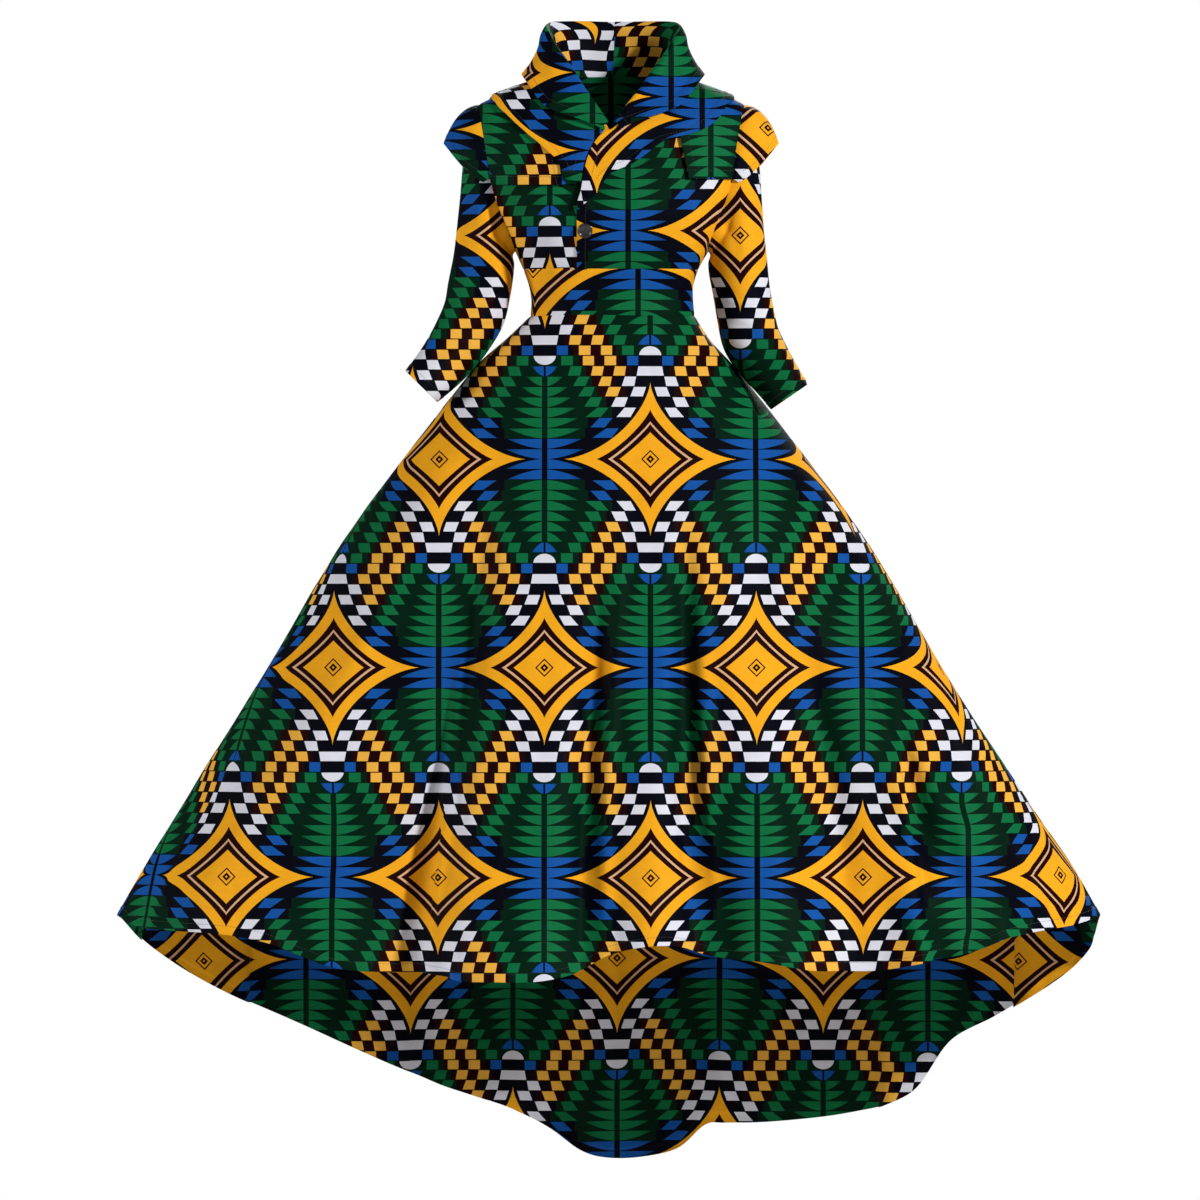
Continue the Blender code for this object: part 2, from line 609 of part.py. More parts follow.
def lapel(side, name, colour):
    ends = []
    for strip in LAPEL_FRONT[side] + LAPEL_BACK:
        inner = angle_at(strip.inner_z, side * strip.inner_x, strip.back)
        outer = angle_at(strip.outer_z, side * strip.outer_x, strip.back)
        turned = abs(math.degrees(inner - ends[-1].inner_angle)) if ends else 0.0
        number = ends[-1].number + max(1, round(turned / STRIP_TURN)) if ends else 0
        ends.append(StripEnds(number, inner, strip.inner_z, outer, strip.outer_z))
    points = [strip_points(strip, 6, LAPEL_LIFT) for strip in refined(ends, 2)]
    return sheet(name, colour, points if side > 0 else [row[::-1] for row in points])


def neck_edge(along, side, lift=0.0):
    """Point on the neckline's edge: from the V (0) to the shoulder (1) and on to the centre back (2)."""
    z = blend(V_POINT, NECK_TOP, min(1.0, along))
    angle = angle_at(z, side * neckline_x(z))
    return body_point(blend(angle, side * math.pi, max(0.0, along - 1.0)), z, lift)


def collar_foot(along, roll, side):
    """Foot of the collar's inner face, seated on the edge of the neckline."""
    edge = neck_edge(along, side)
    course = (neck_edge(along + 0.02, side) - neck_edge(along - 0.02, side)).normalized()
    outward = (neck_edge(along, side, 0.001) - edge).normalized()
    inward = outward.cross(course) * side
    face = (roll - edge).cross(course).normalized() * side
    return edge + inward * COLLAR_GAP + face * CLOTH


def collar_profile(row, side):
    """Profile of the collar at one place: up from its foot, over the roll and down to the free edge."""
    def place(x, y, z):
        return Vector((side * x + COLLAR_CENTRE * smooth_step(-0.07, 0.02, z), y, z))

    roll = place(row.roll_x, row.roll_y, row.roll_z)
    edge = place(row.edge_x, row.edge_y, row.edge_z)
    foot = collar_foot(row.along, roll, side)
    out = (edge - foot).normalized()
    width = min(0.008, 0.45 * (edge - roll).length)
    crest = roll + out * width * 0.5 + Vector((0.0, 0.0, 0.0008))
    turned = roll.lerp(edge, 0.15) + out * width * 0.75
    stand = [foot.lerp(roll, t) for t in (0.0, 0.45, 0.9)]
    sunk = COLLAR_HOLLOW * (edge - roll).length
    fall = [turned.lerp(edge, t) - out * (sunk * math.sin(math.pi * t)) for t in (0.0, 0.33, 0.67, 1.0)]
    return stand + [crest] + fall


def collar():
    """Make the collar from the wearer's right end of the V round the back to the left end."""
    rows = refined(COLLAR, 2)
    columns = [collar_profile(row, -1) for row in rows] + [collar_profile(row, 1) for row in rows[-2::-1]]
    return sheet("collar", (0.02, 0.30, 0.14), [list(row) for row in zip(*columns)])


def button():
    """Make the round button from a turned profile, seated on the wrap edge."""
    x, z = BUTTON_PLACE
    angle = angle_at(z, x)
    seat = body_point(angle, z, SEAM)
    out = (body_point(angle, z, 0.01) - body_point(angle, z, 0.0)).normalized()
    profile = [
        (0.0, 0.0), (0.85, 0.0), (1.0, 0.3), (1.0, 0.75), (0.9, 1.0), (0.76, 0.9), (0.68, 0.6), (0.0, 0.6),
    ]
    form = bmesh.new()
    verts = [form.verts.new((r * BUTTON_RADIUS, 0.0, h * BUTTON_HEIGHT)) for r, h in profile]
    edges = [form.edges.new(pair) for pair in zip(verts, verts[1:])]
    bmesh.ops.spin(form, geom=verts + edges, axis=(0, 0, 1), cent=(0, 0, 0), angle=2 * math.pi, steps=24,
                   use_merge=True)
    bmesh.ops.remove_doubles(form, verts=form.verts, dist=0.00005)
    bmesh.ops.recalc_face_normals(form, faces=form.faces)
    mesh = bpy.data.meshes.new("button")
    form.to_mesh(mesh)
    form.free()
    mesh.shade_smooth()
    piece = bpy.data.objects.new("button", mesh)
    COLLECTION.objects.link(piece)
    mesh.materials.append(material("button", (0.02, 0.02, 0.03), 0.3))
    piece.location = seat
    piece.rotation_mode = "QUATERNION"
    piece.rotation_quaternion = out.to_track_quat("Z", "Y")
    return piece


def no_lift(angle, z):
    return 0.0


def build():
    bodice_panel("bodice_front_left", (0.02, 0.28, 0.12), front_left_edge, 1, False, 14, no_lift)
    bodice_panel("bodice_front_right", (0.02, 0.24, 0.10), front_right_edge, -1, False, 14, underlap_lift)
    back_panel()
    midriff_band("band_front", -math.pi / 2.0, math.pi / 2.0)
    midriff_band("band_back", math.pi / 2.0, 1.5 * math.pi)
    skirt_panel("skirt_front", (0.02, 0.30, 0.14), -math.pi / 2.0, math.pi / 2.0, 42, 15, False)
    skirt_panel("skirt_back", (0.02, 0.22, 0.10), math.pi / 2.0, 1.5 * math.pi, 48, 15, True)
    for flap, hand in zip(FLAPS, ("left", "right")):
        sleeve(flap.side, "sleeve_" + hand, (0.03, 0.20, 0.55))
        cap_wing(flap, "cap_wing_" + hand, (0.85, 0.42, 0.02))
        lapel(flap.side, "lapel_" + hand, (0.85, 0.50, 0.05))
        shoulder_flap(flap, "shoulder_flap_" + hand, (0.03, 0.26, 0.50))
    collar()
    button()


for old in list(bpy.data.objects):
    bpy.data.objects.remove(old, do_unlink=True)
COLLECTION = bpy.data.collections.new("bazin_dress")
bpy.context.scene.collection.children.link(COLLECTION)
build()
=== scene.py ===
"""Looks of the bazin dress: printed cotton shells on the fixed frame, their creases, seams, stitches and stage.

The frame's cloth walls are read as grids, made finer, creased by listed folds and given a charted print.
Lengths are metres; x runs toward the wearer's left, the front faces -y and z is up.
"""
import math
from collections import namedtuple

import bmesh
import bpy
import numpy as np
from bpy.props import FloatProperty, FloatVectorProperty, PointerProperty
from bpy.types import Operator, Panel, PropertyGroup
from mathutils import Matrix, Vector, noise


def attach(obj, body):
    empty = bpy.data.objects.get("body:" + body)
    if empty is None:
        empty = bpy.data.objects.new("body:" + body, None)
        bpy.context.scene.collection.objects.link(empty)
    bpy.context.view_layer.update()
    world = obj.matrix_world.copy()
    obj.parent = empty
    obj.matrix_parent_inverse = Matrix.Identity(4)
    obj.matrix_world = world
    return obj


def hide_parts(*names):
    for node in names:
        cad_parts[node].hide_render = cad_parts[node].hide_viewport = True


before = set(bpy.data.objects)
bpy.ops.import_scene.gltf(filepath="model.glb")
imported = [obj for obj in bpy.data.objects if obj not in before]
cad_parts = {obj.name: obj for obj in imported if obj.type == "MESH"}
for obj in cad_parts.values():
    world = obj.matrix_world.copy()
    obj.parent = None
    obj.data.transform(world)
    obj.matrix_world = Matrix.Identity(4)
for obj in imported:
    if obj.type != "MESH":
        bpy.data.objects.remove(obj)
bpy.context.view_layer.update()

bl_info = {
    "name": "Bazin dress",
    "version": (1, 0, 0),
    "blender": (4, 5, 0),
    "location": "View3D > Sidebar > Dress",
    "description": "Builds the printed cloth, stitching, button and stage of a bazin dress on its frame",
    "category": "Object",
}

ROOT = "root"

# Panels: how each cloth piece lies in the frame. columns is the number of points in each of its rows. across is the
# way its rows run and up the way from one row to the next, which for the collar is from the shorter to the longer.
# spacing is the distance between the finer points. u and v are the place of one star of the print, read across and
# up from the front. The rest says how its borders are made: low and high are its first and last row, first and last
# the ends of its rows. A hem is turned and stitched, and a seam is sewn to its neighbour.
PanelRow = namedtuple("PanelRow", "name columns across up spacing u v low high first last")
LEFT, RIGHT, UP, BACK = (1, 0, 0), (-1, 0, 0), (0, 0, 1), (0, 1, 0)
HEM, SEAM = "hem", "seam"
PANELS = {row[0]: PanelRow(*row) for row in [
    ("skirt_front", 43, LEFT, UP, 0.0075, 0.0515, -0.5016, HEM, SEAM, SEAM, SEAM),
    ("skirt_back", 49, RIGHT, UP, 0.0084, 0.2850, -1.1670, HEM, SEAM, SEAM, SEAM),
    ("band_front", 19, LEFT, UP, 0.0045, -0.1030, -0.2508, SEAM, SEAM, SEAM, SEAM),
    ("band_back", 19, RIGHT, UP, 0.0045, 0.1386, -0.2300, SEAM, SEAM, SEAM, SEAM),
    ("bodice_front_left", 15, LEFT, UP, 0.0040, 0.1610, -0.2006, SEAM, SEAM, HEM, SEAM),
    ("bodice_front_right", 15, LEFT, UP, 0.0040, -0.0805, -0.3313, SEAM, SEAM, SEAM, HEM),
    ("bodice_back", 23, RIGHT, UP, 0.0045, 0.0000, -0.2350, SEAM, SEAM, SEAM, SEAM),
    ("sleeve_left", 20, LEFT, UP, 0.0045, 0.1703, -0.2059, HEM, SEAM, SEAM, SEAM),
    ("sleeve_right", 20, LEFT, UP, 0.0045, -0.1228, -0.2059, HEM, SEAM, SEAM, SEAM),
    ("lapel_left", 7, LEFT, BACK, 0.0035, -0.0185, -0.0528, HEM, SEAM, HEM, HEM),
    ("lapel_right", 7, LEFT, BACK, 0.0035, -0.1571, -0.0950, HEM, SEAM, HEM, HEM),
    ("shoulder_flap_left", 8, LEFT, BACK, 0.0035, 0.2700, -0.0206, HEM, HEM, HEM, SEAM),
    ("shoulder_flap_right", 8, LEFT, BACK, 0.0035, -0.0343, -0.0040, HEM, HEM, SEAM, HEM),
    ("cap_wing_left", 5, LEFT, BACK, 0.0035, 0.2072, -0.0634, SEAM, SEAM, SEAM, HEM),
    ("cap_wing_right", 5, LEFT, BACK, 0.0035, -0.0924, -0.0660, SEAM, SEAM, HEM, SEAM),
    ("collar", 37, LEFT, None, 0.0035, 0.2178, -0.0238, SEAM, HEM, HEM, HEM),
]}
COLLAR_RIGHT_STAR = (-0.1630, 0.0086)   # the collar's right half is cut apart, with its star here

# Creases: soft ridges (depth above 0) and troughs (below 0) along bowed lines, for each panel as seen from one
# side. x and z are a line's two ends, bow is how far its middle stands aside, and all of them are in millimetres.
CreaseRow = namedtuple("CreaseRow", "x0 z0 x1 z1 bow width depth")
CREASES = {
    ("skirt_front", "front"): [
        (-165, -502, -279, -1195, 12, 24, -18), (-197, -686, -236, -1208, 3, 10, 15),
        (-12, -634, -36, -1201, -5, 14, -21), (12, -634, -8, -1201, -4, 9, 8),
        (-65, -581, -87, -1181, 6, 15, 4), (99, -581, 116, -1175, -8, 15, -18),
        (123, -581, 143, -1175, -8, 10, 7), (70, -554, 51, -1133, 5, 16, 6),
        (300, -689, 408, -1089, 12, 9, 10), (363, -739, 429, -1181, 5, 14, -17),
        (207, -647, 220, -1162, -4, 22, 6), (249, -726, 318, -1162, 6, 18, -12),
        (-197, -475, -495, -1096, 10, 24, 8), (-236, -607, -411, -1135, -6, 20, -6),
        (-289, -653, -572, -1093, -8, 16, -5), (494, -884, 529, -1129, 4, 15, -6),
        (454, -858, 477, -1133, -4, 14, 5), (-120, -686, -147, -1177, 7, 11, -4),
        (22, -422, 28, -739, 3, 18, -4), (170, -488, 239, -845, -6, 18, -4),
        (-67, -345, -86, -438, -2, 7, -1.7), (-13, -341, -8, -420, 1, 6, -1.3),
        (45, -338, 59, -449, 2, 8, -1.8), (92, -341, 123, -433, -2, 7, -1.6),
        (-106, -351, -143, -425, 2, 7, 1.5), (15, -341, 22, -401, 0, 6, 1.1),
        (70, -338, 92, -414, 1, 6, 1.3), (-41, -343, -48, -401, -1, 5, 1.1),
    ],
    ("bodice_front_left", "front"): [
        (-17, -207, 107, -166, 5, 7, -1.3), (-16, -219, 117, -240, -4, 7, -1.1),
        (-12, -193, 58, -143, 3, 6, -1.2), (127, -143, 75, -180, -3, 6, -1.7),
        (120, -174, 83, -206, 2, 6, 1.3), (38, -129, 25, -243, 3, 13, 1.3),
        (75, -191, 58, -248, -3, 8, -1), (107, -209, 86, -248, 1, 7, 1.1),
        (-34, -153, -30, -190, 1, 5, 0.9), (-33, -211, -38, -246, -1, 5, 0.9),
    ],
    ("bodice_front_right", "front"): [
        (-49, -206, -110, -164, -3, 6, -1.4), (-49, -218, -102, -243, 3, 6, -1.2),
        (-125, -143, -88, -180, 3, 6, -1.7), (-73, -145, -77, -232, -2, 9, 1),
        (-120, -177, -96, -216, -2, 6, 1.2),
    ],
    ("band_front", "front"): [
        (-96, -269, -17, -263, 1, 4, -0.9), (1, -293, 107, -280, -2, 5, -1),
        (-86, -309, 15, -313, 1, 4, -0.8), (38, -269, 102, -264, 1, 4, 0.7),
        (-59, -285, -9, -290, -1, 4, 0.7),
    ],
    ("sleeve_left", "front"): [
        (139, -177, 170, -232, 3, 7, -1.8), (197, -153, 186, -227, -2, 7, -1.3),
        (173, -158, 176, -251, 2, 8, 1.2), (136, -275, 191, -294, -3, 5, -2),
        (139, -296, 202, -319, 4, 6, -2.6), (147, -314, 215, -341, -3, 5, -2),
        (141, -285, 181, -302, 2, 5, 1.6), (154, -335, 223, -359, 3, 6, -1.6),
        (168, -350, 210, -363, -2, 5, 1.4), (210, -364, 247, -412, 3, 7, 1.2),
    ],
    ("sleeve_right", "front"): [
        (-140, -177, -168, -235, -3, 7, -1.8), (-189, -153, -181, -227, 2, 7, -1.3),
        (-164, -165, -170, -253, -2, 8, 1.2), (-131, -275, -186, -294, 3, 5, -2),
        (-136, -296, -199, -319, -4, 6, -2.6), (-147, -317, -215, -341, 3, 5, -2.1),
        (-139, -286, -181, -304, -2, 5, 1.6), (-157, -338, -228, -359, -3, 6, -1.6),
        (-176, -351, -218, -364, 2, 5, 1.4), (-218, -364, -255, -404, -3, 7, 1.2),
    ],
    ("collar", "front"): [
        (-99, 58, -67, -32, 5, 7, 1.6), (-73, 48, -30, -42, -4, 6, -1.2),
        (-107, 13, -73, -21, 3, 5, -1.2), (96, 61, 38, -42, -5, 7, 1.4),
        (75, 26, 22, -42, 4, 6, -1.2), (117, 32, 81, -24, 4, 6, -1.3),
    ],
    ("lapel_left", "front"): [
        (-15, -129, 70, -61, 8, 7, 1.5), (1, -114, 104, -66, 4, 6, -1),
        (38, -87, 125, -42, -3, 6, 1.2), (58, -95, 117, -63, 2, 5, -1),
    ],
    ("lapel_right", "front"): [
        (-143, -29, -67, -95, 6, 7, 1.5), (-123, -21, -49, -87, -4, 6, -1),
        (-94, -63, -41, -106, 3, 5, 1.2),
    ],
    ("shoulder_flap_left", "front"): [
        (110, -42, 117, -121, 2, 7, 1.2), (149, -26, 157, -119, -2, 6, -1),
        (133, -66, 139, -127, 1, 5, 1),
    ],
    ("shoulder_flap_right", "front"): [
        (-165, -26, -157, -103, 2, 7, 1.2), (-149, -34, -131, -127, -2, 6, -1),
        (-139, -66, -94, -127, 3, 6, 1),
    ],
    ("cap_wing_left", "front"): [
        (189, -32, 210, -90, 3, 5, 1), (199, -42, 218, -79, -2, 4, -0.8),
    ],
    ("cap_wing_right", "front"): [
        (-191, -37, -213, -87, -3, 5, 1), (-181, -50, -202, -92, 2, 4, -0.8),
    ],
    ("skirt_back", "back"): [
        (-20, -420, -62, -1400, 14, 22, -9.5), (34, -470, 48, -1420, -10, 18, 7.6),
        (88, -400, 190, -1390, -16, 20, -9.5), (130, -560, 268, -1350, 8, 14, 6.6),
        (160, -500, 372, -1300, -10, 18, -8.5), (210, -640, 450, -1210, 12, 16, 5.7),
        (250, -700, 548, -1120, 8, 15, -5.7), (-72, -450, -150, -1390, -9, 17, 8.5),
        (-110, -430, -248, -1360, 12, 20, -9.5), (-150, -600, -330, -1310, -7, 13, 5.7),
        (-190, -520, -412, -1240, 10, 18, -7.6), (-240, -700, -505, -1150, -9, 15, 5.7),
        (-290, -760, -580, -1080, 6, 14, -5.7), (8, -800, -8, -1430, 5, 11, -5.7),
        (-96, -900, -120, -1400, 4, 10, -4.8), (150, -980, 178, -1380, -5, 9, 4.8),
        (-62, -352, -78, -440, 2, 7, -1.8), (-30, -352, -36, -428, -1, 6, 1.4),
        (6, -350, 10, -446, 2, 8, -1.9), (40, -352, 47, -420, -1, 6, 1.2),
        (66, -352, 84, -436, -2, 7, -1.6),
    ],
    ("bodice_back", "back"): [
        (-130, -128, -84, -176, 3, 8, -1.9), (-128, -160, -92, -204, -2, 7, 1.4),
        (-104, -226, -52, -198, 3, 7, -1.5), (-96, -248, -40, -236, -2, 6, -1.2),
        (-24, -70, -16, -232, 5, 16, -1.8), (22, -96, 17, -240, -4, 12, 1.3),
        (132, -120, 88, -170, -3, 8, -1.9), (126, -158, 94, -206, 2, 7, 1.3),
        (108, -222, 58, -194, -3, 7, -1.6), (92, -250, 44, -238, 2, 6, -1.1),
    ],
    ("band_back", "back"): [
        (-84, -266, -22, -274, 2, 5, -1), (-70, -292, 4, -298, -2, 5, -0.9),
        (12, -270, 86, -262, 2, 5, -1), (26, -306, 88, -296, -1, 4, 0.8),
        (-52, -322, -6, -318, 1, 4, 0.7),
    ],
    ("sleeve_left", "back"): [
        (140, -170, 166, -226, 4, 8, -1.8), (186, -150, 184, -240, -3, 8, -1.2),
        (140, -268, 192, -284, 3, 6, -2), (144, -292, 204, -312, -4, 7, -2.6),
        (152, -318, 214, -338, 3, 6, -2.2), (146, -280, 186, -296, -2, 5, 1.5),
        (168, -340, 222, -360, -3, 6, -1.4), (210, -372, 238, -412, 3, 7, 1.2),
    ],
    ("sleeve_right", "back"): [
        (-140, -172, -164, -228, -4, 8, -1.8), (-186, -150, -184, -236, 3, 8, -1.2),
        (-136, -270, -188, -286, -3, 6, -2.1), (-142, -294, -202, -314, 4, 7, -2.5),
        (-152, -320, -216, -340, -3, 6, -2.1), (-144, -282, -184, -298, 2, 5, 1.4),
        (-172, -342, -226, -360, 3, 6, -1.5), (-214, -370, -244, -404, -3, 7, 1.2),
    ],
    ("collar", "back"): [
        (-52, 52, -34, 10, 3, 7, 1.4), (-14, 66, -10, 16, -2, 7, -1.3),
        (24, 64, 30, 14, 2, 8, 1.3), (60, 46, 50, 8, -3, 7, -1.3),
    ],
    ("lapel_left", "back"): [
        (24, -30, 86, -44, 3, 7, 1.3), (44, -58, 104, -62, -3, 6, -1),
    ],
    ("lapel_right", "back"): [
        (-22, -34, -80, -40, -3, 7, 1.3), (-40, -60, -104, -64, 3, 6, -1),
    ],
    ("shoulder_flap_left", "back"): [
        (118, -50, 122, -116, 2, 7, 1.2), (142, -60, 150, -120, -2, 6, -1),
    ],
    ("shoulder_flap_right", "back"): [
        (-120, -52, -118, -116, -2, 7, 1.2), (-146, -58, -152, -122, 2, 6, -1),
    ],
}

# Frame meshes
MERGE = 0.00002         # points of the loose triangles that are one point
RIM_EDGE = 0.0022       # a face on the rim between the two walls has an edge shorter than this
RIM_TURN = 0.5          # and that edge, or the face itself, stands on the wall beside it
TINY = 1e-9
FINE_STEPS = 12         # steps of a smooth curve between two points of the frame
# Distances from an edge at which a finer row is placed, so that seams and hems are crisp
SEAM_MARKS = (0.0, 0.0008, 0.0018, 0.0032, 0.0050)
HEM_MARKS = (0.0, 0.0010, 0.0030, 0.0080, 0.0128, 0.0138, 0.0148, 0.0160)
MARK_ROOM = 1.2         # the room that the marks of two edges need, as a share of their reach
MARK_SHARE = 0.7        # the marks near two edges take at most this share of a narrow piece

# How the print lies: as seen from the front, so a step along the cloth counts by the share of its length that shows
# from there. Where the cloth turns away it counts by TURN_START - TURN_SLOPE * share, once that is more, up to 1.
TURN_START = 1.35
TURN_SLOPE = 1.70
EVEN_SHARE = 14         # shares are evened out over a fourteenth of their line's points on either side
COLLAR_END = 10         # each half of the collar's print is placed a tenth of the columns in from its end

# The print, charted in its own units. Star rows are 2 * CHART_HEIGHT apart, stars in a row 2 * HALF_WIDTH.
PRINT_MAP = "print"
CHART_UNIT = 0.00132
HALF_WIDTH = 105.0
CHART_HEIGHT = 103.5
CHART_ROWS = 10
CELL_GAP = 0.05         # what is left free of each row below and above its checks
LEAF_GAP = 0.06         # and above its leaf
LEAF_CURVE = 1.8        # how hollow a leaf's lower side is
LEAF_DARK = 0.35        # how much of its dye a leaf keeps at its tip
LEAF_FADE = 0.6         # and how far in it reaches its full dye
SPINE = 2.8             # half the width of the spine between the leaves
DISC_WIDTH = 11.0       # half the width and the height of the half discs
DISC_HEIGHT = 9.3

# Checks: row counts away from the star, slot outwards from its upright axis. A check is slanted: in and out are
# its two sides, at the end of the row that is near the star and at the far one.
CellRow = namedtuple("CellRow", "row slot near_in near_out far_in far_out")
CELLS = [CellRow(*row) for row in [
    (2, 0, 39, 58, 31, 43),
    (3, 0, 46, 60, 37, 50),
    (4, 0, 20, 34, 14, 25),
    (4, 3, 50, 65, 41, 52),
    (5, 0, 26, 39, 22, 34),
    (5, 3, 52, 66, 48, 59),
    (6, 0, 7.5, 20, 4, 16),
    (6, 1, 33, 45, 29, 41),
    (6, 3, 59, 72, 55, 65),
    (7, 0, 16, 28.5, 14, 25),
    (7, 1, 40, 52, 38, 48),
    (7, 3, 65, 77, 60, 71),
    (8, 0, -1, 13.6, -1, 11.7),
    (8, 1, 25.5, 37, 24, 35),
    (8, 2, 48, 59, 46, 57),
    (8, 3, 70, 82, 68, 79),
    (9, 0, 12, 23, 12, 23),
    (9, 1, 34, 45.5, 34, 45.5),
    (9, 2, 56, 67, 56, 67),
    (9, 3, 77, 88.6, 77, 88.6),
]]

# Leaves: for each row, where the leaf's tip is, whether it is blue, and how broad the spine is beside it
LeafRow = namedtuple("LeafRow", "tip blue spine")
LEAF_TIPS = [LeafRow(*row) for row in [
    (65, 1, 1), (67, 1, 1), (68, 0, 1), (71, 0, 1), (73, 0, 1),
    (78, 0, 1), (81.5, 0, 1), (86.5, 0, 1), (92, 1, 0.35), (105, 0, 0),
]]
LEAVES = [(row.tip / HALF_WIDTH, row.blue, row.spine, 1.0) for row in LEAF_TIPS]
COOL_CELLS = [(1.0 if row in (2, 3, 9) else 0.0,) * 3 + (1.0,) for row in range(CHART_ROWS)]

# Ground colours of each row: brown from the first to the second place, dark before and deep green after
GROUND_TURNS = [
    (105, 105), (105, 105), (65, 65), (62, 62), (38, 38), (43, 44), (24, 52), (34, 58), (19, 64), (28, 71),
]
GROUNDS = [(first / HALF_WIDTH, second / HALF_WIDTH, 0.0, 1.0) for first, second in GROUND_TURNS]

# The star from outside in: half width, half height, how straight its sides are, and its colour
STAR_RINGS = [
    (87.4, 78.4, 0.66, "dark"),
    (86.0, 77.0, 0.66, "star"),
    (54.0, 49.7, 0.80, "brown"),
    (42.2, 37.7, 0.90, "line"),
    (38.4, 35.1, 0.90, "brown"),
    (30.6, 26.8, 0.95, "star"),
    (9.2, 9.2, 1.0, "brown"),
    (7.4, 7.4, 1.0, "star"),
    (4.2, 4.2, 1.0, "brown"),
    (1.3, 1.3, 1.0, "star"),
]

# Cloth
MM = 1000.0             # millimetres in a metre
SEAM_HALF = 0.004       # how far from a seam the cloth rolls in
HEM_STEP = 0.0012       # the width of the step at either side of a turned hem
CREASE_TAPER = 0.8      # below 1 a crease keeps its depth further toward its ends
CREASE_FACING = 0.35    # how squarely the cloth has to face a crease's side for the crease's full depth
FLAP_FRONT = (0.15, 0.42)   # the widened flap narrows again between these shares of its rows
RIPPLE_SCALE = 22.0     # unevenness of the cloth, in waves per metre
SHARP_ANGLE = 60
STITCH_INSET = 0.0015   # how far inside the turned edge the stitches lie
STITCH_LIFT = 0.2       # how high they stand, as a share of the thread
STITCH_ROOM = 2.5       # a line of stitches needs cloth this many times as deep as it lies

# Finish: the least value and the spread of what the weave or the unevenness changes
DYE_TONE = (0.89, 0.22)
SLUB_TONE = (0.92, 0.16)
COTTON_ROUGHNESS = (0.54, 0.16)
RESIN_ROUGHNESS = (0.2, 0.25)
# Waves per metre of the unevenness and how fine it is, of the dye, the slubs of the weave, the resin and the floor
CLOUD_SCALE, CLOUD_DETAIL = 45.0, 5.0
SLUB_SCALE = (40.0, 900.0, 1.0)
RESIN_SCALE, RESIN_DETAIL = 260.0, 6.0
PAPER_SCALE, PAPER_DETAIL = 3.0, 2.0
COTTON_SPECULAR = 0.03
YARN = 0.00035          # distance between two threads of the weave
WEAVE_BUMP = (0.25, 0.00012)    # its strength and height
THREAD_WORN = 2.2       # how much paler the sewing thread is where it is worn
RESIN_RUBBED = 2.4      # and the button where it is rubbed
PAPER_TONES = ((0.86, 0.86, 0.86, 1.0), (0.9, 0.9, 0.9, 1.0))

# Button: its turned outline as shares of the radius and half thickness, from the back to the middle of the face
BUTTON_SIDES = 48
BUTTON_PROFILE = [
    (0.90, -1.0), (0.97, -0.7), (1.0, -0.1), (1.0, 0.4), (0.97, 0.8), (0.92, 0.97), (0.86, 1.0), (0.80, 0.93),
    (0.75, 0.70), (0.71, 0.42), (0.66, 0.28), (0.40, 0.24), (0.15, 0.22),
]
# Its holes and thread, as shares of the radius, or of the half thickness where they say how high or deep
HOLE_SPREAD = 0.17
HOLE_SIZE = 0.085
HOLE_DEPTH = 6
HOLE_SIDES = 12
THREAD_LEVEL = 0.34
THREAD_SIZE = 0.035
THREAD_FLATNESS = 0.6   # a strand's width as a share of its height
THREAD_REACH = 1.25     # a strand's length as a share of the distance between the holes it joins
THREAD_OFFSETS = (-1.0, 0.0, 1.0)   # where the strands lie side by side, in strands

# Stage
LENS = 600.0
SENSOR = 36.0
VIEW_WIDTH = 1.584
AIM = (-0.0145, 0.0, -0.6864)
FLOOR_RADIUS = 3.5
FLOOR_SIDES = 96
FLOOR_LEVEL = -1.6
DAYLIGHT_STRENGTH = 0.14
BACKDROP_STRENGTH = 1.0     # the same, as the camera sees it
LampRow = namedtuple("LampRow", "name place size power")
LAMPS = [
    LampRow("key", (5.3, -5.1, 2.6), 0.8, 570.0),
    LampRow("side", (-5.3, -1.2, 0.4), 1.8, 150.0),
    LampRow("back", (0.6, 3.6, 1.4), 2.2, 130.0),
]
MIX_FIRST, MIX_SECOND, MIX_RESULT = 6, 7, 2     # the colour sockets of a Mix node


def on_rim(wall, face, short_edge):
    """Whether a face beside the wall belongs to the rim that joins it to the other wall."""
    if short_edge is None:
        return False
    return abs(short_edge.dot(wall.normal)) > RIM_TURN or face.normal.dot(wall.normal) < RIM_TURN


